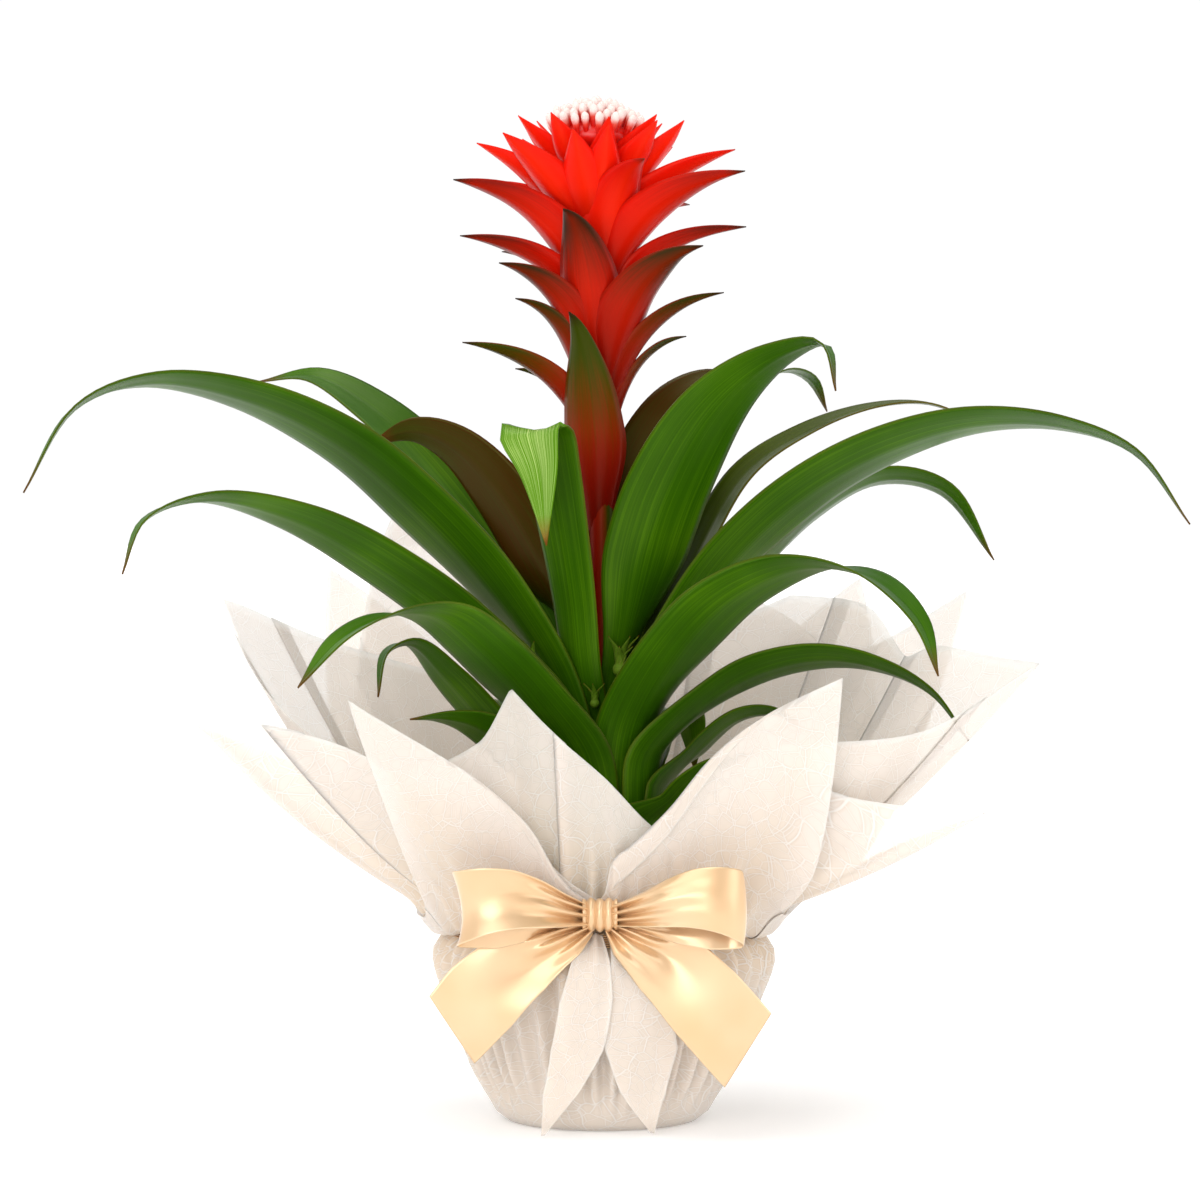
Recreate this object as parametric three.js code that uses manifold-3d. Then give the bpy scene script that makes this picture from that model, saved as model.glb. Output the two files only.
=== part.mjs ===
// A hope guzmania in a nursery pot, wrapped in three cream fabric sheets and tied with a satin bow.
// Millimetres, +Z up. The origin is the centre of the face that the wrapped pot rests on.
// The photograph looks along +Y, so -Y is the front and +X is the right-hand side.
import * as THREE from 'three';
import Module from 'manifold-3d';
import { mergeVertices } from 'three/addons/utils/BufferGeometryUtils.js';

const wasm = await Module();
wasm.setup();

// Driving dimensions
const GAP = 0.35;
const POT_BASE_RADIUS = 43;
const POT_RIM_RADIUS = 66;
const POT_HEIGHT = 75;
const POT_WALL = 1.6;
const POT_FACETS = 32;
const SOIL_BELOW_RIM = 6;
const SOIL_MOUND = 4;
const STALK_RADIUS = 6;
const STALK_BEND_START = 230;
const STALK_TOP = 433;
const STALK_TOP_OFFSET = -4;
const SHEET_THICKNESS = 0.6;
const SHEET_PITCH = SHEET_THICKNESS + GAP;
const SHEET_COLUMNS = 40;
const NECK_RADIUS = 66.5;
const NECK_TOP = 94;
const LEAF_THICKNESS = 1.1;
const LEAF_TIP_THICKNESS = 0.8;
const LEAF_CURL = 0.28;
const LEAF_WIDEST_AT = 0.35;
const LEAF_STEPS = 10;
const SHEATH_SPAN = 0.9;
const SHEATH_SHORTEST = 12;
const SHEATH_TOP_EASE = 8;
const SHEATH_FACET_BULGE = 0.027;
const STALK_BURIED = 26;
const BRACT_THICKNESS = 1.3;
const LEAFLET_THICKNESS = 0.9;
const RIBBON_THICKNESS = 0.8;
const FLORET_COUNT = 43;

const wallStack = 3 * SHEET_PITCH;
const potFloor = wallStack;
const rimHeight = potFloor + POT_HEIGHT;
const soilTop = rimHeight - SOIL_BELOW_RIM;
const moundTop = soilTop + SOIL_MOUND;
const sheathFoot = moundTop + GAP;

const DEG = Math.PI / 180;
const GOLDEN_ANGLE = 137.508 * DEG;

const colours = {
  leaf: { color: 0x2f5a0d, roughness: 0.38 },
  innerLeaf: { color: 0x3a2413, roughness: 0.4 },
  bract: { color: 0xc91f06, roughness: 0.42 },
  floret: { color: 0xf6d9d2, roughness: 0.45 },
  shoot: { color: 0x5a7d2a, roughness: 0.5 },
  wrap: { color: 0xf1e7dc, roughness: 0.85 },
  ribbon: { color: 0xf4d9a3, roughness: 0.3 },
  pot: { color: 0x8a4a2c, roughness: 0.7 },
  soil: { color: 0x3a2a1e, roughness: 1.0 },
};

const object = new THREE.Group();

function add(name, geometry, colour) {
  const material = new THREE.MeshStandardMaterial({ metalness: 0, ...colours[colour] });
  const mesh = new THREE.Mesh(geometry, material);
  mesh.name = name;
  object.add(mesh);
  return mesh;
}

function meshGeometry(points, faces) {
  const geometry = new THREE.BufferGeometry();
  const flat = points.flatMap((point) => [point.x, point.y, point.z]);
  geometry.setAttribute('position', new THREE.Float32BufferAttribute(flat, 3));
  geometry.setIndex(faces.flat());
  return geometry;
}

function solid(geometry) {
  const bare = geometry.clone();
  bare.deleteAttribute('normal');
  bare.deleteAttribute('uv');
  const merged = mergeVertices(bare, 1e-4);
  return new wasm.Manifold(new wasm.Mesh({
    numProp: 3,
    vertProperties: new Float32Array(merged.attributes.position.array),
    triVerts: new Uint32Array(merged.index.array),
  }));
}

function fromSolid(body) {
  const mesh = body.getMesh();
  const geometry = new THREE.BufferGeometry();
  geometry.setAttribute('position', new THREE.BufferAttribute(new Float32Array(mesh.vertProperties), 3));
  geometry.setIndex(new THREE.BufferAttribute(new Uint32Array(mesh.triVerts), 1));
  return geometry;
}

// Joins solids, fills any hollow that they seal and drops loose scraps
function fuse(geometries) {
  const whole = geometries.map(solid).reduce((sum, piece) => sum.add(piece));
  const bodies = whole.decompose();
  return fromSolid(bodies.reduce((best, body) => (body.volume() > best.volume() ? body : best)));
}

const evenShares = (from, count) => (
  Array.from({ length: count }, (_, i) => from + ((1 - from) * i) / count));

const smooth = (t) => {
  const clamped = Math.min(Math.max(t, 0), 1);
  return clamped * clamped * (3 - 2 * clamped);
};
const mix = THREE.MathUtils.lerp;

// A thin blade that ends in a point. Each station gives the middle of a section, the direction
// along the blade, the direction that its upper face looks in, half its width, the half angle
// that it curls through, and its thickness. Both faces are split along the same diagonals.
function blade(stations, tip, across) {
  const points = [];
  const faces = [];
  const upper = [];
  const lower = [];
  for (const station of stations) {
    const right = station.along.clone().cross(station.up).normalize();
    const radius = station.half / station.curl;
    const top = [];
    const bottom = [];
    for (let j = 0; j <= across; j += 1) {
      const angle = station.curl * (2 * j / across - 1);
      const out = right.clone().multiplyScalar(Math.sin(angle));
      out.addScaledVector(station.up, -Math.cos(angle));
      const middle = station.middle.clone().addScaledVector(station.up, radius);
      const edge = j === 0 || j === across;
      const share = edge ? 0 : station.thickness / 2;
      top.push(points.length);
      points.push(middle.clone().addScaledVector(out, radius - share));
      if (edge) {
        bottom.push(top[j]);
      } else {
        bottom.push(points.length);
        points.push(middle.clone().addScaledVector(out, radius + share));
      }
    }
    upper.push(top);
    lower.push(bottom);
  }
  const end = points.length;
  points.push(tip);
  const last = stations.length - 1;
  for (let i = 0; i < last; i += 1) {
    for (let j = 0; j < across; j += 1) {
      faces.push([upper[i][j], upper[i][j + 1], upper[i + 1][j + 1]]);
      faces.push([upper[i][j], upper[i + 1][j + 1], upper[i + 1][j]]);
      faces.push([lower[i][j], lower[i + 1][j + 1], lower[i][j + 1]]);
      faces.push([lower[i][j], lower[i + 1][j], lower[i + 1][j + 1]]);
    }
  }
  for (let j = 0; j < across; j += 1) {
    faces.push([upper[last][j], upper[last][j + 1], end]);
    faces.push([lower[last][j + 1], lower[last][j], end]);
    if (j > 0) {
      faces.push([upper[0][j], lower[0][j], upper[0][j + 1]]);
    }
    if (j < across - 1) {
      faces.push([upper[0][j + 1], lower[0][j], lower[0][j + 1]]);
    }
  }
  return meshGeometry(points, faces);
}

// Stations along a curve at the given shares of its length. lean gives the horizontal direction
// that the blade leans in there, roll its turn about its own length, and shape its half width,
// curl and thickness.
function stationsAlong(curve, shares, lean, roll, shape) {
  const stations = [];
  for (const t of shares) {
    const along = curve.getTangentAt(t).normalize();
    const left = new THREE.Vector3(0, 0, 1).cross(lean(t)).normalize();
    const up = along.clone().cross(left).normalize();
    up.applyAxisAngle(along, roll(t) * DEG);
    stations.push({ middle: curve.getPointAt(t), along, up, ...shape(t) });
  }
  return stations;
}

const heading = (azimuth) => new THREE.Vector3(Math.cos(azimuth * DEG), Math.sin(azimuth * DEG), 0);

// Leaves, from the innermost to the outermost. azimuth is the direction that a leaf leaves the
// stalk in and that of its tip, path its reach and height from where it parts from the sheaths
// to its tip, width its widest, and roll its turn at its middle and at its tip.
const leafRows = [
  { name: 'leaf_inner_left', azimuth: [165, 168], width: 34, roll: [20, 30], dark: true,
    path: [[20, 232], [48, 281], [69, 303], [88, 310], [108, 304]] },
  { name: 'leaf_inner_right', azimuth: [40, 38], width: 38, roll: [-10, -10], dark: true,
    path: [[14, 240], [28, 290], [48, 322], [70, 334], [88, 330]] },
  { name: 'leaf_broad_right', azimuth: [312, 326], width: 40, roll: [-34, -10],
    path: [[18, 222], [40, 280], [68, 321], [96, 342], [116, 346], [122, 326]] },
  { name: 'leaf_back_upright', azimuth: [86, 84], width: 32, roll: [0, 0],
    path: [[15, 214], [34, 262], [66, 296], [104, 303], [140, 280]] },
  { name: 'leaf_front', azimuth: [240, 248], width: 31, roll: [-12, -18], steps: 15,
    path: [[22, 205], [28, 235], [37, 264], [48, 294], [55, 308], [63, 309], [67, 296], [68, 264]] },
  { name: 'leaf_back_left', azimuth: [150, 152], width: 38, roll: [-20, -30],
    path: [[26, 212], [54, 252], [86, 290], [120, 320], [152, 336], [182, 334]] },
  { name: 'leaf_back_right', azimuth: [48, 42], width: 36, roll: [0, 0],
    path: [[22, 224], [50, 284], [80, 320], [110, 338], [132, 335], [143, 320]] },
  { name: 'leaf_left_long', azimuth: [212, 205], width: 38, roll: [24, 10],
    path: [[26, 198], [55, 236], [92, 273], [130, 303], [172, 322], [215, 329], [247, 318], [270, 282]] },
  { name: 'leaf_right_olive', azimuth: [16, 18], width: 26, roll: [-20, -10],
    path: [[24, 210], [44, 252], [67, 290], [98, 310], [130, 321], [156, 323], [178, 317]] },
  { name: 'leaf_right_long', azimuth: [334, 350], width: 38, roll: [-25, -10],
    path: [[27, 200], [62, 250], [98, 282], [135, 302], [171, 312], [207, 311], [238, 299], [262, 268]] },
  { name: 'leaf_left_low', azimuth: [215, 214], width: 34, roll: [25, 10],
    path: [[27, 182], [60, 212], [108, 245], [158, 270], [203, 279], [232, 270], [242, 248]] },
  { name: 'leaf_right_behind', azimuth: [22, 10], width: 32, roll: [-25, -20],
    path: [[26, 180], [49, 216], [75, 245], [103, 273], [131, 288], [159, 283], [182, 251]] },
  { name: 'leaf_back_arched', azimuth: [112, 106], width: 36, roll: [0, 0],
    path: [[25, 177], [50, 219], [84, 245], [114, 242], [138, 220]] },
  { name: 'leaf_front_right', azimuth: [306, 318], width: 38, roll: [-15, 5],
    path: [[27, 180], [56, 213], [88, 237], [124, 250], [156, 246], [180, 228], [190, 205]] },
  { name: 'leaf_front_left', azimuth: [237, 233], width: 36, roll: [12, 5],
    path: [[28, 164], [57, 190], [92, 214], [120, 229], [148, 231], [182, 221], [208, 202]] },
  { name: 'leaf_back_low', azimuth: [72, 80], width: 34, roll: [0, 0],
    path: [[24, 166], [48, 194], [76, 212], [104, 212], [122, 199]] },
  { name: 'leaf_left_drooping', azimuth: [196, 204], width: 27, roll: [25, 0],
    path: [[28, 146], [50, 174], [74, 200], [92, 215], [104, 211], [108, 192]] },
  { name: 'leaf_right_low', azimuth: [342, 350], width: 26, roll: [-30, -15],
    path: [[27, 164], [48, 187], [70, 201], [98, 208], [123, 205], [148, 193], [165, 172]] },
  { name: 'leaf_back_hanging', azimuth: [58, 60], width: 26, roll: [0, 0],
    path: [[26, 152], [44, 170], [62, 181], [80, 176], [87, 152]] },
  { name: 'leaf_back_left_low', azimuth: [130, 124], width: 28, roll: [0, 0],
    path: [[30, 136], [48, 165], [70, 184], [94, 180]] },
  { name: 'leaf_left_small', azimuth: [226, 222], width: 26, roll: [25, 20],
    path: [[31, 142], [54, 167], [76, 180], [94, 184], [112, 184]] },
  { name: 'leaf_right_small', azimuth: [2, 8], width: 24, roll: [-25, -20],
    path: [[29, 148], [46, 168], [62, 180], [78, 182], [90, 177]] },
  { name: 'leaf_right_lowest', azimuth: [326, 334], width: 20, roll: [-20, -20],
    path: [[32, 134], [43, 148], [57, 160], [74, 167]] },
  { name: 'leaf_back_lowest', azimuth: [98, 104], width: 26, roll: [0, 0],
    path: [[33, 130], [52, 152], [78, 168], [100, 168]] },
];

// Each sheath is an arc round the stalk, one pitch outside every inner sheath that it overlaps.
function nestSheaths(rows) {
  const outside = (radius) => radius * (1 + SHEATH_FACET_BULGE) + LEAF_THICKNESS + GAP;
  const first = STALK_RADIUS + GAP + LEAF_THICKNESS / 2;
  rows.forEach((row, i) => {
    const inside = rows.slice(0, i).filter((other) => {
      const turn = Math.abs(((row.azimuth[0] - other.azimuth[0] + 540) % 360) - 180) * DEG;
      return turn < 2 * SHEATH_SPAN + 0.1;
    });
    row.radius = Math.max(first, ...inside.map((other) => outside(other.radius)));
  });
}

function leafCurve(row) {
  const [start, end] = row.azimuth;
  const [partReach, partHeight] = row.path[0];
  const total = row.path[row.path.length - 1][0];
  const clear = partHeight - 2.2 * (partReach - row.radius) - 6;
  const sheathTop = Math.max(sheathFoot + SHEATH_SHORTEST, clear);
  const rows = [sheathFoot, sheathTop - SHEATH_TOP_EASE, sheathTop].map((height) => [row.radius, height]);
  const points = [...rows, ...row.path].map(([reach, height]) => {
    const azimuth = mix(start, end, smooth((reach - row.radius) / (total - row.radius)));
    return heading(azimuth).multiplyScalar(reach).setZ(height);
  });
  row.sheathLength = sheathTop - sheathFoot;
  return new THREE.CatmullRomCurve3(points, false, 'centripetal');
}

function leafGeometry(row) {
  const curve = leafCurve(row);
  const length = curve.getLength();
  const free = length - row.sheathLength;
  const [start, end] = row.azimuth;
  const freeShare = (t) => (t * length - row.sheathLength) / free;
  const lean = (t) => heading(mix(start, end, smooth(freeShare(t))));
  const roll = (t) => {
    const share = freeShare(t);
    return share < 0.5
      ? mix(0, row.roll[0], smooth(share / 0.4))
      : mix(row.roll[0], row.roll[1], smooth((share - 0.5) / 0.5));
  };
  const shape = (t) => {
    const share = freeShare(t);
    const base = row.radius * SHEATH_SPAN;
    const widening = mix(base, row.width / 2, smooth(share / 0.3));
    const toTip = Math.max(0, (share - LEAF_WIDEST_AT) / (1 - LEAF_WIDEST_AT));
    const tapering = row.width / 2 * (1 - toTip ** 2.1);
    return {
      half: share < LEAF_WIDEST_AT ? widening : tapering,
      curl: mix(SHEATH_SPAN, LEAF_CURL, smooth(share / LEAF_WIDEST_AT)),
      thickness: mix(LEAF_THICKNESS, LEAF_TIP_THICKNESS, smooth(share)),
    };
  };
  const shares = [0, ...evenShares(row.sheathLength / length, row.steps ?? LEAF_STEPS)];
  const stations = stationsAlong(curve, shares, lean, roll, shape);
  return blade(stations, curve.getPointAt(1), 4);
}

// Flower stalk and bracts. Each row: azimuth, height of the bract's foot, reach and height of its
// tip from the stalk's middle line, and its width.
const bractRows = [
  [190, 392, 54, 438, 20], [215, 396, 50, 441, 22], [200, 418, 36, 450, 14], [170, 412, 33, 441, 14],
  [197, 362, 67, 421, 24], [165, 382, 54, 422, 18], [184, 352, 62, 397, 18], [205, 332, 49, 384, 20],
  [185, 316, 38, 369, 17], [192, 298, 63, 349, 16], [160, 296, 41, 338, 16],
  [345, 402, 41, 448, 20], [20, 402, 37, 438, 16], [350, 388, 63, 435, 18], [335, 366, 72, 424, 24],
  [10, 354, 68, 402, 18], [325, 328, 56, 391, 26], [5, 312, 56, 372, 16], [32, 300, 46, 353, 16],
  [300, 378, 42, 429, 26], [247, 336, 40, 407, 28], [252, 288, 33, 362, 26], [254, 396, 36, 442, 22],
  [45, 372, 60, 414, 22], [78, 384, 54, 431, 22], [108, 342, 58, 388, 22], [132, 374, 60, 418, 22],
  [62, 326, 52, 372, 20], [102, 302, 50, 346, 18], [142, 344, 56, 392, 20], [88, 404, 42, 446, 18],
  [122, 406, 44, 444, 18], [55, 408, 40, 446, 18], [280, 404, 34, 444, 18], [320, 408, 36, 447, 18],
];
const INNER_BRACTS = 8;
const FUNNEL_START = 375;

const stalkOffset = (height) => {
  const share = (height - STALK_BEND_START) / (STALK_TOP - STALK_BEND_START);
  return STALK_TOP_OFFSET * Math.max(share, 0) ** 1.5;
};

function bractGeometry([azimuth, foot, reach, tipHeight, width]) {
  const rise = tipHeight - foot;
  const at = (out, height) => {
    const point = heading(azimuth).multiplyScalar(out).setZ(height);
    point.x += stalkOffset(foot);
    return point;
  };
  const funnel = smooth((foot - FUNNEL_START) / 30);
  const curve = new THREE.CubicBezierCurve3(
    at(STALK_RADIUS - 1.5, foot),
    at(STALK_RADIUS + mix(5, 9, funnel), foot + mix(0.5, 0.3, funnel) * rise),
    at(mix(0.42, 0.8, funnel) * reach, foot + mix(0.9, 0.75, funnel) * rise),
    at(reach, tipHeight),
  );
  const shape = (t) => ({
    half: 0.6 * width * (t < 0.4 ? mix(0.45, 1, smooth(t / 0.4)) : 1 - ((t - 0.4) / 0.6) ** 1.8),
    curl: mix(1.2, 0.7, smooth(t)),
    thickness: BRACT_THICKNESS,
  });
  const turn = -32 * Math.cos(azimuth * DEG);
  const stations = stationsAlong(curve, [0, 0.27, 0.54, 0.8], () => heading(azimuth), () => turn, shape);
  return blade(stations, curve.getPointAt(1), 2);
}

function stalkGeometry() {
  const heights = [sheathFoot - STALK_BURIED, STALK_BEND_START, 300, 370, STALK_TOP];
  const points = heights.map((height) => new THREE.Vector3(stalkOffset(height), 0, height));
  const section = new THREE.Shape();
  section.absarc(0, 0, STALK_RADIUS, 0, 2 * Math.PI);
  const path = new THREE.CatmullRomCurve3(points);
  return new THREE.ExtrudeGeometry(section, { steps: 8, curveSegments: 5, extrudePath: path });
}

function flowerSpike() {
  const inner = [];
  for (let i = 0; i < INNER_BRACTS; i += 1) {
    const azimuth = (i * 360) / INNER_BRACTS + 12;
    inner.push([azimuth, 414 + 4 * (i % 2), 31 + 2 * (i % 3), 448 + 2 * (i % 2), 15]);
  }
  return fuse([stalkGeometry(), ...[...bractRows, ...inner].map(bractGeometry)]);
}

nestSheaths(leafRows);
for (const row of leafRows) {
  add(row.name, leafGeometry(row), row.dark ? 'innerLeaf' : 'leaf');
}
add('flower_spike', flowerSpike(), 'bract');

function turned(profile, segments) {
  const outline = profile.map(([radius, height]) => new THREE.Vector2(radius, height));
  const geometry = new THREE.LatheGeometry(outline, segments);
  geometry.rotateX(Math.PI / 2);
  return geometry;
}

// Side shoots in the leaf axils: a bud with three leaflets. Rows: azimuth, reach and height of the
// bud, its radius and the length of its leaflets.
const shootRows = {
  side_shoot_right: [300, 16.4, 203, 4, 15],
  side_shoot_left: [216, 39, 208, 2.4, 8],
  side_shoot_front: [260, 19.3, 188, 2.4, 9],
};

function shootGeometry([azimuth, reach, height, radius, length]) {
  const centre = heading(azimuth).multiplyScalar(reach).setZ(height);
  const bud = new THREE.IcosahedronGeometry(radius, 0);
  bud.translate(centre.x, centre.y, centre.z);
  const pieces = [bud];
  for (const turn of [-70, 0, 70]) {
    const lean = heading(azimuth + turn);
    const foot = centre.clone().addScaledVector(lean, radius * 0.2);
    const middle = foot.clone().addScaledVector(lean, 0.18 * length).setZ(height + 0.6 * length);
    const tip = foot.clone().addScaledVector(lean, 0.5 * length).setZ(height + length);
    const curve = new THREE.QuadraticBezierCurve3(foot, middle, tip);
    const shape = (t) => ({
      half: radius * (0.7 - 0.5 * t * t),
      curl: 0.8,
      thickness: LEAFLET_THICKNESS,
    });
    const stations = stationsAlong(curve, [0, 0.35, 0.7], () => lean, () => 0, shape);
    pieces.push(blade(stations, tip, 2));
  }
  return fuse(pieces);
}
for (const [name, row] of Object.entries(shootRows)) {
  add(name, shootGeometry(row), 'shoot');
}

// Floret head: buds in a spiral over a low dome, which is their core
const FLORET_LENGTH = 14;
const DOME_BASE = STALK_TOP + GAP;
const DOME_TOP = 450;
const DOME_REACH = 18;

function floretGeometry(place, lean) {
  const profile = [[0, 0], [1.3, 0], [2.3, 0.62], [1.6, 0.88], [0, 1]];
  const outline = profile.map(([radius, share]) => new THREE.Vector2(radius, share * FLORET_LENGTH));
  const bud = new THREE.LatheGeometry(outline, 5);
  bud.applyQuaternion(new THREE.Quaternion().setFromUnitVectors(new THREE.Vector3(0, 1, 0), lean));
  bud.translate(place.x, place.y, place.z);
  return bud;
}

function floretHead() {
  const pieces = [];
  const core = turned([
    [0, DOME_BASE], [9, DOME_BASE], [DOME_REACH - 1, 441], [DOME_REACH, 444], [12, 448], [0, DOME_TOP],
  ], 14);
  core.translate(STALK_TOP_OFFSET, 0, 0);
  pieces.push(core);
  for (let i = 0; i < FLORET_COUNT; i += 1) {
    const share = Math.sqrt((i + 0.5) / FLORET_COUNT);
    const out = heading((i * GOLDEN_ANGLE) / DEG);
    const place = out.clone().multiplyScalar((DOME_REACH - 1.5) * share);
    place.x += STALK_TOP_OFFSET;
    place.z = DOME_TOP - 2 - 8 * share * share;
    const lean = new THREE.Vector3(0, 0, 1).addScaledVector(out, 0.42 * share).normalize();
    pieces.push(floretGeometry(place, lean));
  }
  return fuse(pieces);
}
add('floret_head', floretHead(), 'floret');

// Pot and soil
const slope = (POT_RIM_RADIUS - POT_BASE_RADIUS) / POT_HEIGHT;
const potInner = (height) => POT_BASE_RADIUS + slope * (height - potFloor) - POT_WALL;
add('nursery_pot', turned([
  [0, potFloor],
  [POT_BASE_RADIUS, potFloor],
  [POT_RIM_RADIUS, rimHeight],
  [POT_RIM_RADIUS - POT_WALL, rimHeight],
  [potInner(potFloor + POT_WALL), potFloor + POT_WALL],
  [0, potFloor + POT_WALL],
], POT_FACETS), 'pot');

const MOUND_RADIUS = 36;
const soilBottom = potFloor + POT_WALL + GAP;
const holeRadius = STALK_RADIUS + GAP;
const holeBottom = sheathFoot - STALK_BURIED - GAP;
add('potting_soil', turned([
  [0, soilBottom],
  [potInner(soilBottom) - GAP, soilBottom],
  [potInner(soilTop) - GAP, soilTop],
  [MOUND_RADIUS, moundTop],
  [holeRadius, moundTop],
  [holeRadius, holeBottom],
  [0, holeBottom],
], POT_FACETS), 'soil');

// Wrap: each sheet goes under the pot, up its wall, in at the neck and out in petals. Past the
// neck a sheet rises as a power of its reach, the same power for all sheets at one azimuth, so a
// steeper sheet always lies inside a flatter one. Rim rows: azimuth, reach past the neck and rise
// above it. Rows lie on the columns of the sheet.
const bodyProfile = [
  [0, wallStack], [44.5, wallStack], [57, 28], [72.6, 71], [NECK_RADIUS + 0.5, NECK_TOP - 11],
  [NECK_RADIUS, NECK_TOP],
];
const flarePower = (azimuth) => 1.2 + 0.15 * Math.cos(2 * azimuth * DEG);

const sheetRows = {
  wrap_outer_sheet: { layer: 2, rim: [
    [45, 106, 148], [90, 55, 60], [135, 117, 153], [153, 70, 60], [162, 45, 24], [180, 16, 5], [198, 16, 5],
    [207, 20, 9], [216, 46, 43], [225, 85, 101], [243, 26, 57], [261, 10, 34], [270, 8.5, 27],
    [279, 10, 34], [297, 30, 72], [315, 77, 110], [324, 44, 24], [333, 22, 5], [351, 18, 3.5],
    [0, 24, 7], [9, 40, 24]] },
  wrap_middle_sheet: { layer: 1, rim: [
    [18, 111, 143], [36, 78, 114], [63, 93, 138], [90, 58, 80], [126, 101, 180], [162, 60, 56],
    [198, 123, 98], [216, 60, 72], [225, 40, 50], [243, 16, 42], [261, 6, 24.5], [279, 6, 24.5],
    [297, 18, 50], [315, 40, 68], [324, 60, 60], [333, 118, 55], [351, 50, 24], [0, 60, 40], [9, 85, 88]] },
  wrap_inner_sheet: { layer: 0, rim: [
    [54, 85, 140], [99, 52, 96], [135, 56, 106], [180, 104, 140], [216, 50, 66], [234, 24, 80],
    [243, 20, 104], [252, 16, 90], [270, 12, 66], [288, 9, 44], [297, 12, 40], [315, 40, 78],
    [333, 90, 88], [351, 131, 112], [0, 112, 114], [9, 90, 118], [18, 82, 112], [36, 84, 136]] },
};

function rimAt(rim, azimuth) {
  const rows = [...rim].sort((a, b) => a[0] - b[0]);
  const after = rows.find((row) => row[0] >= azimuth) ?? rows[0];
  const before = [...rows].reverse().find((row) => row[0] < azimuth) ?? rows[rows.length - 1];
  const span = (after[0] - before[0] + 360) % 360;
  const share = ((azimuth - before[0] + 360) % 360) / span;
  return { reach: mix(before[1], after[1], share), rise: mix(before[2], after[2], share) };
}

function sheetProfile(rim, azimuth) {
  const { reach, rise } = rimAt(rim, azimuth);
  const power = flarePower(azimuth);
  const first = Math.min(6, 0.4 * reach);
  const reaches = [first, mix(first, reach, 0.3), mix(first, reach, 0.65), reach];
  const flare = reaches.map((out) => [NECK_RADIUS + out, NECK_TOP + rise * (out / reach) ** power]);
  return [...bodyProfile, ...flare];
}

// Moves a profile sideways by a distance, away from the pot, and keeps its corners sharp
function offsetProfile(profile, distance) {
  return profile.map(([radius, height], i) => {
    const normals = [];
    for (const k of [i - 1, i]) {
      if (k >= 0 && k < profile.length - 1) {
        const [from, to] = [profile[k], profile[k + 1]];
        const along = new THREE.Vector2(to[0] - from[0], to[1] - from[1]).normalize();
        normals.push(new THREE.Vector2(along.y, -along.x));
      }
    }
    const bisector = normals.reduce((sum, normal) => sum.clone().add(normal)).normalize();
    const move = distance / Math.max(bisector.dot(normals[0]), 0.4);
    return i === 0 ? [0, height - distance] : [radius + bisector.x * move, height + bisector.y * move];
  });
}

function sheetGeometry({ layer, rim }) {
  const points = [];
  const faces = [];
  const grids = [0, SHEET_THICKNESS].map((thickness) => {
    const distance = layer * SHEET_PITCH + GAP + thickness;
    const columns = [];
    const pole = points.length;
    points.push(new THREE.Vector3(0, 0, wallStack - distance));
    for (let j = 0; j < SHEET_COLUMNS; j += 1) {
      const azimuth = (j * 360) / SHEET_COLUMNS;
      const profile = offsetProfile(sheetProfile(rim, azimuth), distance).slice(1);
      columns.push(profile.map(([radius, height]) => {
        points.push(heading(azimuth).multiplyScalar(radius).setZ(height));
        return points.length - 1;
      }));
    }
    return { pole, columns };
  });
  const [inner, outer] = grids;
  for (let j = 0; j < SHEET_COLUMNS; j += 1) {
    const next = (j + 1) % SHEET_COLUMNS;
    const [a, b, c, d] = [inner.columns[j], inner.columns[next], outer.columns[j], outer.columns[next]];
    faces.push([inner.pole, a[0], b[0]]);
    faces.push([outer.pole, d[0], c[0]]);
    const last = a.length - 1;
    for (let i = 0; i < last; i += 1) {
      faces.push([a[i], a[i + 1], b[i + 1]], [a[i], b[i + 1], b[i]]);
      faces.push([c[i], d[i + 1], c[i + 1]], [c[i], d[i], d[i + 1]]);
    }
    faces.push([a[last], c[last], d[last]], [a[last], d[last], b[last]]);
  }
  return meshGeometry(points, faces);
}
for (const [name, row] of Object.entries(sheetRows)) {
  add(name, sheetGeometry(row), 'wrap');
}

// A strip of ribbon or fabric along a path: each station has the middle of the strip, the
// direction across it and its half width there.
function strip(stations, thickness) {
  const points = [];
  const faces = [];
  stations.forEach(({ middle, across, half }, i) => {
    const before = stations[Math.max(i - 1, 0)].middle;
    const after = stations[Math.min(i + 1, stations.length - 1)].middle;
    const along = after.clone().sub(before).normalize();
    const face = along.clone().cross(across).normalize().multiplyScalar(thickness / 2);
    const reach = across.clone().normalize().multiplyScalar(half);
    points.push(middle.clone().add(reach).add(face), middle.clone().sub(reach).add(face));
    points.push(middle.clone().sub(reach).sub(face), middle.clone().add(reach).sub(face));
    if (i > 0) {
      const [a, b] = [4 * i - 4, 4 * i];
      for (let k = 0; k < 4; k += 1) {
        const n = (k + 1) % 4;
        faces.push([a + k, b + k, b + n], [a + k, b + n, a + n]);
      }
    }
  });
  const end = points.length - 4;
  faces.push([0, 1, 2], [0, 2, 3], [end, end + 2, end + 1], [end, end + 3, end + 2]);
  const volume = faces.reduce((sum, [a, b, c]) => (
    sum + points[a].dot(points[b].clone().cross(points[c]))), 0);
  return meshGeometry(points, volume < 0 ? faces.map(([a, b, c]) => [a, c, b]) : faces);
}

const vector = ([x, y, z]) => new THREE.Vector3(x, y, z);

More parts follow.
